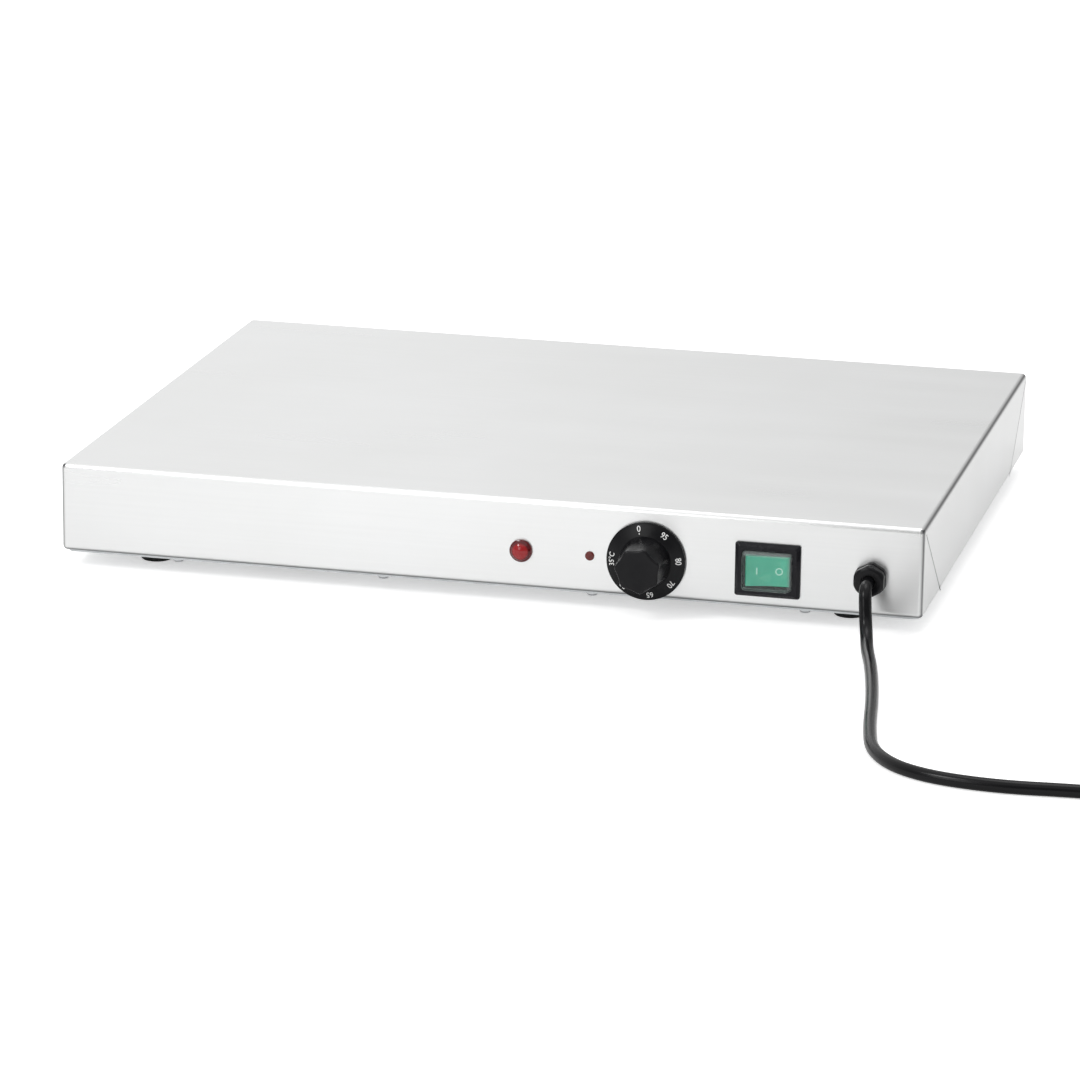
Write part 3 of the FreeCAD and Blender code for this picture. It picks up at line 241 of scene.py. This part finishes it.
# Table and studio
# A pale table top under a white surround. The table glows a little for the camera, which lightens
# the tray's shadow, and metal sees the side the camera stands on dimmer than the rest.
reach = 6.0
table_corners = np.array([[(reach, -reach, 0.0), (reach, reach, 0.0)],
                          [(-reach, -reach, 0.0), (-reach, reach, 0.0)]])
table = bpy.data.objects.new("table", grid_mesh("table", table_corners, smooth=False))
scene.collection.objects.link(table)
table_paint = bpy.data.materials.new("table_top")
table_paint.use_nodes = True
tree = table_paint.node_tree
shader = tree.nodes["Principled BSDF"]
shader.inputs["Roughness"].default_value = 0.9
shader.inputs["Specular IOR Level"].default_value = 0.0
speck = node(tree, "Group", node_tree=mottle)
speck.inputs["Scale"].default_value = 12
pale = node(tree, "Mix", [(0, speck.outputs[0]), (6, (0.90, 0.90, 0.90, 1)),
                          (7, (0.92, 0.92, 0.92, 1))], data_type="RGBA")
path = node(tree, "LightPath")
seen = node(tree, "Math", [(0, path.outputs["Is Camera Ray"]),
                           (1, path.outputs["Is Transmission Ray"])], operation="MAXIMUM")
mirrored = node(tree, "Mix", [(0, path.outputs["Is Glossy Ray"]), (6, (0, 0, 0, 1)),
                              (7, (0.07, 0.07, 0.07, 1))], data_type="RGBA")
glow = node(tree, "Mix", [(0, seen.outputs[0]), (6, mirrored.outputs[2]),
                          (7, (0.50, 0.50, 0.50, 1))], data_type="RGBA")
shader.inputs["Emission Strength"].default_value = 1.0
tree.links.new(pale.outputs[2], shader.inputs["Base Color"])
tree.links.new(glow.outputs[2], shader.inputs["Emission Color"])
table.data.materials.append(table_paint)

world = bpy.data.worlds.new("studio")
scene.world = world
world.use_nodes = True
tree = world.node_tree
sky = tree.nodes["Background"]
path = node(tree, "LightPath")
way = node(tree, "TexCoord")
parts = node(tree, "SeparateXYZ", [(0, way.outputs["Generated"])])
lit = node(tree, "MapRange", [("Value", parts.outputs["Y"]), ("From Min", -0.45), ("From Max", 0.1),
                              ("To Min", 0.5), ("To Max", 1.0)])
overhead = node(tree, "MapRange", [("Value", parts.outputs["Z"]), ("From Min", 0.45),
                                   ("From Max", 0.75), ("To Min", 0.0), ("To Max", 1.0)])
sideways = node(tree, "MapRange", [("Value", parts.outputs["X"]), ("From Min", -0.26),
                                   ("From Max", -0.04), ("To Min", 1.0), ("To Max", 0.56)])
back = node(tree, "Math", [(0, lit.outputs[0]), (1, sideways.outputs[0])], operation="MULTIPLY")
room = node(tree, "Math", [(0, back.outputs[0]), (1, overhead.outputs[0])], operation="MAXIMUM")
glossy = node(tree, "Mix", [(0, path.outputs["Is Glossy Ray"]), (2, 0.72), (3, room.outputs[0])])
clear = node(tree, "Math", [(0, path.outputs["Is Camera Ray"]),
                            (1, path.outputs["Is Transmission Ray"])], operation="MAXIMUM")
level = node(tree, "Mix", [(0, clear.outputs[0]), (2, glossy.outputs[0]), (3, 1.0)])
sky.inputs["Color"].default_value = (1, 1, 1, 1)
tree.links.new(level.outputs[0], sky.inputs["Strength"])


def lamp(name, place, target, size, power):
    """Square soft box that looks from one point at another."""
    light = bpy.data.lights.new(name, "AREA")
    light.shape = "SQUARE"
    light.size = size
    light.energy = power
    made = bpy.data.objects.new(name, light)
    aim = Vector(target) - Vector(place)
    facing = aim.to_track_quat("-Z", "Y").to_matrix().to_4x4()
    made.matrix_world = Matrix.Translation(place) @ facing
    scene.collection.objects.link(made)


lamp("key", (-1.5, -2.0, 2.4), (0, 0, 0), 0.9, 25)
lamp("overhead", (0.2, 0.3, 2.6), (0, 0, 0), 1.4, 14)
lamp("front", (-0.30, -1.24, 0.45), (-0.02, -0.173, 0.03), 0.5, 1.7)
scene.view_settings.view_transform = "Standard"

# Housing
# One blank of 1 mm stainless steel, brushed along its length and folded on every side.
# The mitred corners meet in a thin seam, and the lower edges fold inward.
side_x = 0.25
depth = 0.37
top_z = 0.0615
edge_z = 0.010
bend = 0.003
back_y = panel_y + depth
brush, given, out = effect("brush_lines", [("Along", "Float", 9.0), ("Across", "Float", 520.0)],
                           [("Height", "Float"), ("Streak", "Float")])
lines = node(brush, "UVMap", uv_map="brush")
across = node(brush, "CombineXYZ", [("X", given.outputs["Along"]), ("Y", given.outputs["Across"])])
stretched = node(brush, "VectorMath", [(0, lines.outputs[0]), (1, across.outputs[0])],
                 operation="MULTIPLY")
scratch = node(brush, "TexNoise", [("Vector", stretched.outputs[0]), ("Scale", 1.0),
                                   ("Detail", 1.0), ("Roughness", 0.5)])
broad = node(brush, "VectorMath", [(0, stretched.outputs[0]), (1, (0.5, 0.05, 1.0))],
             operation="MULTIPLY")
band = node(brush, "TexNoise", [("Vector", broad.outputs[0]), ("Scale", 1.0), ("Detail", 2.0)])
brush.links.new(scratch.outputs["Fac"], out.inputs["Height"])
brush.links.new(band.outputs["Fac"], out.inputs["Streak"])

steel = bpy.data.materials.new("brushed_stainless")
steel.use_nodes = True
tree = steel.node_tree
shader = tree.nodes["Principled BSDF"]
shader.inputs["Metallic"].default_value = 1.0
shader.inputs["Anisotropic"].default_value = 0.75
shader.inputs["Anisotropic Rotation"].default_value = 0.25
grain = node(tree, "Group", node_tree=brush)
cloudy = node(tree, "Group", node_tree=mottle)
cloudy.inputs["Scale"].default_value = 9
tone = node(tree, "Mix", [(0, grain.outputs["Height"]), (6, (0.80, 0.805, 0.805, 1)),
                          (7, (0.83, 0.835, 0.835, 1))], data_type="RGBA")
wipe = node(tree, "Mix", [(0, cloudy.outputs[0]), (6, (1, 1, 1, 1)), (7, (0.965, 0.965, 0.96, 1))],
            data_type="RGBA")
shade = node(tree, "Mix", [(0, 1.0), (6, tone.outputs[2]), (7, wipe.outputs[2])],
             data_type="RGBA", blend_type="MULTIPLY")
# Painted shade: near black mixed into the bends of the folds by the 'fold' attribute.
fold = node(tree, "Attribute", attribute_name="fold")
fold_shaded = node(tree, "Mix", [(0, fold.outputs["Fac"]), (6, shade.outputs[2]),
                             (7, (0.07, 0.07, 0.075, 1))], data_type="RGBA")
rough = node(tree, "MapRange", [("Value", grain.outputs["Streak"]), ("From Min", 0.3),
                                ("From Max", 0.7), ("To Min", 0.27), ("To Max", 0.31)])
direction = node(tree, "Tangent", direction_type="UV_MAP", uv_map="brush")
tree.links.new(fold_shaded.outputs[2], shader.inputs["Base Color"])
tree.links.new(rough.outputs[0], shader.inputs["Roughness"])
tree.links.new(direction.outputs[0], shader.inputs["Tangent"])

housing = from_solid("housing", ["top_housing"], steel, "tray", sharp=40)


def unroll(mesh, seam_slope):
    """UV map 'brush' with U along the brush lines of the blank before it was folded.

    On the top and the long sides U is x. On the short sides the flap from the top has U
    down its height, and the tab that wraps round from the long side has U along its depth.
    """
    mesh.uv_layers.new(name="brush")
    corners = np.empty(len(mesh.loops), dtype=np.int32)
    mesh.loops.foreach_get("vertex_index", corners)
    place = np.empty(len(mesh.vertices) * 3)
    mesh.vertices.foreach_get("co", place)
    place = place.reshape(-1, 3)[corners]
    normal = np.empty(len(mesh.polygons) * 3)
    mesh.polygons.foreach_get("normal", normal)
    size = np.empty(len(mesh.polygons), dtype=np.int32)
    mesh.polygons.foreach_get("loop_total", size)
    centre = np.empty(len(mesh.polygons) * 3)
    mesh.polygons.foreach_get("center", centre)
    normal = np.repeat(normal.reshape(-1, 3), size, axis=0)
    centre = np.repeat(centre.reshape(-1, 3), size, axis=0)
    steep = np.abs(normal)
    end = np.minimum(centre[:, 1] - panel_y, back_y - centre[:, 1])
    tab = end < bend + (top_z - bend - centre[:, 2]) * seam_slope
    upright = 0.72
    side = steep[:, 0] > upright
    front = steep[:, 1] > upright
    u = np.where(side & tab, place[:, 1], np.where(side, place[:, 2], place[:, 0]))
    v = np.where(side & tab, place[:, 2], np.where(side | ~front, place[:, 1], place[:, 2]))
    mesh.uv_layers["brush"].data.foreach_set("uv", np.stack([u, v], axis=1).ravel())


seam_run = 0.0565
seam_drop = 0.0475
unroll(housing.data, seam_run / seam_drop)


def paint_fold_shade(mesh, width):
    """Attribute 'fold' of painted shade: dark where folds of the short sides and lower edge turn.

    How far a corner lies past the start of each fold, along x, y and z, gives the direction
    that the sheet faces there. The value is 1 half way between two faces and falls to 0 as
    the largest part of that direction grows by the given width.
    """
    place = np.empty(len(mesh.vertices) * 3)
    mesh.vertices.foreach_get("co", place)
    place = place.reshape(-1, 3)
    middle = np.array([0, (panel_y + back_y) / 2, (top_z + edge_z) / 2])
    flat = np.array([side_x, depth / 2, (top_z - edge_z) / 2]) - bend
    past = np.maximum(np.abs(place - middle) - flat, 0)
    touching = 1e-5
    facing = past / np.maximum(np.linalg.norm(past, axis=1), 1e-6)[:, None]
    between = np.clip((math.sqrt(0.5) + width - facing.max(axis=1)) / width, 0, 1)
    between *= past.max(axis=1) > touching
    low = place[:, 2] < middle[2]
    shade_amount = np.where(past[:, 0] > touching, 0.97, np.where(low, 0.95, 0)) * between
    values = mesh.attributes.new("fold", "FLOAT", "POINT")
    values.data.foreach_set("value", shade_amount)


paint_fold_shade(housing.data, 0.26)

share = np.array([0, 0.5, 0.86, 0.93, 1.0])  # where along a seam its strip has corners


def seam_shadow_strip(side, end, start, foot, widths, proud):
    """Painted shadow of one mitre's slit: a strip from its upper to its lower end, seen from
    outside.

    Its middle runs straight between the two ends, and its half width grows from the first to
    the second of the widths over the last eighth.
    """
    half = np.interp(share, [share[2], 1.0], widths)
    y_end, inward = (panel_y, 1) if end < 0 else (back_y, -1)
    y = y_end + inward * (start[0] + (foot[0] - start[0]) * share)
    z = start[1] + (foot[1] - start[1]) * share
    x = np.full_like(y, side * (side_x + proud))
    line = np.stack([np.stack([x, y - half, z], axis=1), np.stack([x, y + half, z], axis=1)])
    return line if side > 0 else line[::-1]


seam_top = (0.0034, 0.0578)
seam_foot = (0.0585, 0.0102)
front_widths = (0.00028, 0.0011)
rear_widths = (0.00014, 0.0006)
# Painted shadow: near-black strips laid over the mitre slits, for the shade inside them.
strips = [seam_shadow_strip(side, end, seam_top, seam_foot, widths, 0.00004)
          for side in (-1, 1) for end, widths in ((-1, front_widths), (1, rear_widths))]
seam_points = np.concatenate([strip.reshape(-1, 3) for strip in strips])
across_strip = len(share)
seam_quads = [[2 * across_strip * k + corner + i
               for corner in (0, across_strip, across_strip + 1, 1)]
              for k in range(len(strips)) for i in range(across_strip - 1)]
seam_mesh = bpy.data.meshes.new("mitre_seam_shadows")
seam_mesh.from_pydata(seam_points.tolist(), [], seam_quads)
seam_shadows = bpy.data.objects.new("mitre_seam_shadows", seam_mesh)
scene.collection.objects.link(seam_shadows)
seam_shadow_paint = finish("seam_shadow", (0.02, 0.02, 0.02), (0.05, 0.05, 0.05), 0.7, scale=300)
seam_mesh.materials.append(seam_shadow_paint)
thick = seam_shadows.modifiers.new("film", "SOLIDIFY")
thick.thickness = 0.00004
thick.offset = 0
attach(seam_shadows, "tray")

# Base plate and its screws
# Galvanised sheet with air slots, held under the return flanges by zinc-plated screws.
galvanised = finish("galvanised_sheet", (0.50, 0.52, 0.53), (0.66, 0.68, 0.69), 0.42, metallic=0.9,
                    scale=110, bump_scale=260, bump=0.03)
plated = finish("zinc_plate", (0.60, 0.61, 0.62), (0.75, 0.76, 0.77), 0.3, metallic=1.0, scale=300)
from_solid("base_sheet", ["base_plate"], galvanised, "tray")
from_solid("base_fixings", ["base_screws", "foot_screws", "foot_washers", "block_screws"],
           plated, "tray")

# Feet
# Four tapered feet of black rubber.
rubber = finish("foot_rubber", (0.008, 0.008, 0.008), (0.02, 0.02, 0.02), 0.62, scale=180,
                bump_scale=1400, bump=0.08)
for corner in ("front_left", "front_right", "rear_left", "rear_right"):
    from_solid("rubber_foot_" + corner, ["foot_" + corner], rubber, "tray")

# Dial
# A moulded black plastic knob: a shallow skirt that carries the scale and a tall fluted grip.
# Its scale is printed in white on the skirt's slope, and the tops of the figures point outward.
dial_paint = finish("dial_moulding", (0.005, 0.005, 0.006), (0.009, 0.009, 0.010), 0.22, scale=90,
                    bump_scale=2500, bump=0.012, roughness_spread=0.04, Specular_IOR_Level=0.16)
from_solid("dial", ["dial_knob"], dial_paint, "dial", sharp=25)

dial_at = Vector((0.0935, panel_y, 0.0315))
slope_radii = (0.0152, 0.021)  # where the scale's slope begins at the grip and ends at the rim
slope_heights = (0.0046, 0.0027)
ink_lift = 0.00004
film_thickness = 0.00006


def printed(text, height, width, face, place):
    """Flat letters of a paint film, mapped on a surface.

    The text's own outline is filled, scaled to the given height and mean figure width, and
    each corner (a, b) is carried to place(a, b). Long edges are split first, so that the film
    follows a curved surface.
    """
    curve = bpy.data.curves.new("letters", "FONT")
    curve.body = text
    curve.align_x = "CENTER"
    curve.align_y = "CENTER"
    curve.offset = face
    holder = bpy.data.objects.new("letters", curve)
    scene.collection.objects.link(holder)
    bpy.context.view_layer.update()
    mesh = bpy.data.meshes.new_from_object(holder)
    bpy.data.objects.remove(holder)
    bpy.data.curves.remove(curve)
    flat = bmesh.new()
    flat.from_mesh(mesh)
    bpy.data.meshes.remove(mesh)
    bmesh.ops.remove_doubles(flat, verts=flat.verts, dist=1e-5)
    bmesh.ops.subdivide_edges(flat, edges=[e for e in flat.edges if e.calc_length() > 0.25], cuts=2)
    bmesh.ops.triangulate(flat, faces=flat.faces)
    corners = np.array([v.co[:2] for v in flat.verts])
    faces = [[v.index for v in f.verts] for f in flat.faces]
    flat.free()
    low, high = corners.min(axis=0), corners.max(axis=0)
    share = (corners - (low + high) / 2) / (high - low)
    figures = len(text)
    return place(share[:, 0] * width * figures, share[:, 1] * height), faces


def on_dial(angle, radius):
    """Places letters on the skirt's cone: up is outward, and the angle runs clockwise from the top.

    A point (a, b) lies at radius + b and turned by a / radius. Its distance off the panel falls
    in a straight line from the grip to the rim.
    """
    def place(a, b):
        r = radius + b
        turned = math.radians(angle) + a / radius
        off = np.interp(r, slope_radii, slope_heights) + ink_lift
        return np.stack([dial_at.x + r * np.sin(turned), dial_at.y - off,
                         dial_at.z + r * np.cos(turned)], axis=1)
    return place


def film(name, pieces, paint, body):
    """One mesh of several printed figures, thickened a little off their surface."""
    points, faces, start = [], [], 0
    for corners, polygons in pieces:
        points.append(corners)
        faces += [[i + start for i in polygon] for polygon in polygons]
        start += len(corners)
    mesh = bpy.data.meshes.new(name)
    mesh.from_pydata(np.concatenate(points).tolist(), [], faces)
    outward = bmesh.new()
    outward.from_mesh(mesh)
    for polygon in outward.faces:
        polygon.normal_update()
        if polygon.normal.y > 0:
            polygon.normal_flip()
    outward.to_mesh(mesh)
    outward.free()
    piece = bpy.data.objects.new(name, mesh)
    scene.collection.objects.link(piece)
    thick = piece.modifiers.new("film", "SOLIDIFY")
    thick.thickness = film_thickness
    thick.offset = 1
    mesh.materials.append(paint)
    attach(piece, body)
    return piece


white_ink = finish("white_print", (0.80, 0.80, 0.79), (0.90, 0.90, 0.89), 0.45, scale=900, bump=0.0)
scale_marks = [("0", -12, 0.0020, 0.0193), ("95", 34, 0.0019, 0.0190),
               ("80", 85, 0.0019, 0.0190), ("70", 129, 0.0019, 0.0190),
               ("65", 171, 0.0019, 0.0192), ("50", 220, 0.0019, 0.0192),
               ("35\u00b0C", 271, 0.0019, 0.0194)]
figures = [printed(text, 0.0032, width, 0.002, on_dial(angle, radius))
           for text, angle, width, radius in scale_marks]
figures.append(printed("|", 0.0008, 0.0004, 0.0, on_dial(-12, 0.0166)))
film("dial_scale", figures, white_ink, "dial")

# Index mark
# A small dark red button beside the dial that the scale is read against.
index_paint = finish("index_moulding", (0.09, 0.007, 0.006), (0.13, 0.011, 0.009), 0.25, scale=300)
from_solid("index_button", ["index_marker"], index_paint, "tray")

# Pilot lamp
# A domed red lens that is brighter in the middle than in its outer ring.
lamp_centre = (0.0215, 0, 0.0315)
ring_from, ring_to = 0.0040, 0.0050
lens_paint = finish("lamp_lens_red", (0.28, 0.008, 0.011), (0.34, 0.012, 0.014), 0.07, scale=120,
                    bump=0.0, roughness_spread=0.01)
tree = lens_paint.node_tree
shader = tree.nodes["Principled BSDF"]
tint = shader.inputs["Base Color"].links[0].from_socket
where = node(tree, "TexCoord")
flat = node(tree, "VectorMath", [(0, where.outputs["Object"]), (1, (1, 0, 1))],
            operation="MULTIPLY")
off_axis = node(tree, "VectorMath", [(0, flat.outputs[0]), (1, lamp_centre)], operation="DISTANCE")
rim = node(tree, "MapRange", [("Value", off_axis.outputs["Value"]), ("From Min", ring_from),
                              ("From Max", ring_to), ("To Min", 0.0), ("To Max", 1.0)])
glass = node(tree, "Mix", [(0, rim.outputs[0]), (6, tint), (7, (0.09, 0.003, 0.005, 1))],
             data_type="RGBA")
tree.links.new(glass.outputs[2], shader.inputs["Base Color"])
from_solid("lamp_glass", ["lamp_lens"], lens_paint, "tray")

# Rocker switch
# A mint green rocker that tilts about its middle, in a black housing.
black_nylon = finish("black_nylon", (0.004, 0.004, 0.005), (0.008, 0.008, 0.009), 0.22, scale=150,
                     bump_scale=1800, bump=0.02, Specular_IOR_Level=0.18)
rocker_paint = finish("rocker_green", (0.04, 0.40, 0.26), (0.06, 0.46, 0.30), 0.25, scale=130,
                      Subsurface_Weight=0.2, Subsurface_Scale=0.004)
from_solid("rocker_button", ["rocker"], rocker_paint, "switch_rocker")
from_solid("switch_case", ["switch_housing"], black_nylon, "tray")

pivot = Vector((0.1625, panel_y + 0.0004, 0.0315))
hollow_half = 0.01193  # half the length of the rocker's hollow top
hollow_depth = 0.0013
top_over_pivot = 0.00434
rocker_tilt = math.radians(10)


def on_rocker(centre):
    """Places a mark on the rocker's hollow top, which is a shallow arc tilted to the right.

    A point (a, b) lies a to the right of the given centre and b up. Its height over the pivot
    is the arc's, and the whole is turned by the rocker's tilt.
    """
    def place(a, b):
        across = centre + a
        arc_radius = (hollow_half ** 2 + hollow_depth ** 2) / (2 * hollow_depth)
        over = (top_over_pivot - hollow_depth) + arc_radius - np.sqrt(arc_radius ** 2 - across ** 2)
        over = over + 0.00005
        x = across * math.cos(rocker_tilt) + over * math.sin(rocker_tilt)
        y = over * math.cos(rocker_tilt) - across * math.sin(rocker_tilt)
        return np.stack([pivot.x + x, pivot.y - y, pivot.z + b], axis=1)
    return place


def stroke_ring(radius, width, place, steps=40):
    """Flat ring between two circles, as quads around it."""
    turn = np.linspace(0, 2 * math.pi, steps, endpoint=False)
    inner, outer = radius - width / 2, radius + width / 2
    a = np.r_[inner * np.cos(turn), outer * np.cos(turn)]
    b = np.r_[inner * np.sin(turn), outer * np.sin(turn)]
    i = np.arange(steps)
    j = (i + 1) % steps
    return place(a, b), np.stack([i, j, j + steps, i + steps], axis=1).tolist()


def stroke_bar(length, width, place):
    """Upright bar of one quad."""
    a = np.array([-width, width, width, -width]) / 2
    b = np.array([-length, -length, length, length]) / 2
    return place(a, b), [[0, 1, 2, 3]]


pale_ink = finish("pale_print", (0.42, 0.76, 0.64), (0.50, 0.82, 0.70), 0.4, scale=900, bump=0.0)
film("rocker_marks", [stroke_bar(0.0038, 0.0007, on_rocker(-0.0062)),
                      stroke_ring(0.0018, 0.0006, on_rocker(0.0062))],
     pale_ink, "switch_rocker")

# Splash cover
# A soft clear cap over the rocker, clamped by a black frame with sloped edges.
cap_paint = finish("clear_cap", (0.46, 0.54, 0.52), (0.54, 0.61, 0.59), 0.1, scale=160, bump=0.01,
                   roughness_spread=0.04)
tree = cap_paint.node_tree
edge_on = node(tree, "LayerWeight", [("Blend", 0.35)])
veil = node(tree, "MapRange", [("Value", edge_on.outputs["Facing"]), ("From Min", 0.1),
                               ("From Max", 0.9), ("To Min", 0.05), ("To Max", 0.45)])
tree.links.new(veil.outputs[0], tree.nodes["Principled BSDF"].inputs["Alpha"])
from_solid("clear_cover", ["splash_cap"], cap_paint, "tray")
frame_paint = finish("frame_moulding", (0.006, 0.006, 0.008), (0.011, 0.011, 0.014), 0.24,
                     scale=150, bump_scale=2000, bump=0.02, Specular_IOR_Level=0.2)
from_solid("cover_frame", ["switch_frame"], frame_paint, "tray")

# Cable gland
# A black nylon gland: a hexagonal flange on the panel and a clamping nut round the cord.
for name in ("gland_body", "gland_nut", "gland_locknut"):
    from_solid(name.replace("gland", "cord_gland"), [name], black_nylon, "tray")

# Inside
# Hot plate stack, thermostat, wiring and fixings. None of it shows with the housing closed.
aluminium = finish("rolled_aluminium", (0.72, 0.73, 0.74), (0.82, 0.83, 0.84), 0.35, metallic=1.0)
silicone = finish("silicone_mat", (0.40, 0.08, 0.05), (0.47, 0.11, 0.07), 0.6, bump_scale=500,
                  bump=0.06)
wool = finish("mineral_wool", (0.66, 0.60, 0.42), (0.82, 0.78, 0.62), 0.95, scale=240,
              bump_scale=700, bump=0.4)
copper = finish("drawn_copper", (0.72, 0.36, 0.22), (0.80, 0.45, 0.30), 0.3, metallic=1.0)
brass = finish("stamped_brass", (0.76, 0.58, 0.28), (0.84, 0.68, 0.38), 0.3, metallic=1.0)
turned_steel = finish("turned_steel", (0.50, 0.50, 0.50), (0.60, 0.60, 0.60), 0.3, metallic=1.0)
phenolic = finish("phenolic", (0.02, 0.02, 0.022), (0.035, 0.035, 0.037), 0.45, bump=0.04)
ceramic = finish("ceramic", (0.86, 0.84, 0.78), (0.92, 0.91, 0.87), 0.5, bump=0.04)
brown_wire = finish("brown_lead", (0.17, 0.07, 0.035), (0.22, 0.10, 0.05), 0.4)
braid = finish("braid_sleeve", (0.72, 0.70, 0.62), (0.86, 0.84, 0.78), 0.85, bump_scale=1200,
               bump=0.3)
green_wire = finish("green_lead", (0.06, 0.35, 0.05), (0.30, 0.50, 0.05), 0.4)
inside = {"aluminium": aluminium, "silicone_red": silicone, "mineral_wool": wool, "copper": copper,
          "brass": brass, "steel_dark": turned_steel, "phenolic_black": phenolic,
          "ceramic_white": ceramic, "wire_brown": brown_wire, "wire_white": braid,
          "wire_green": green_wire, "zinc_sheet": galvanised, "zinc_screw": plated,
          "black_rubber": rubber, "cord_black": jacket, "nylon_black": black_nylon}
for part in frame["record"]["subparts"]:
    solid = nodes[part["node"]]
    if part["material_slot"] in inside:
        solid.data.materials.clear()
        solid.data.materials.append(inside[part["material_slot"]])

bpy.context.view_layer.update()
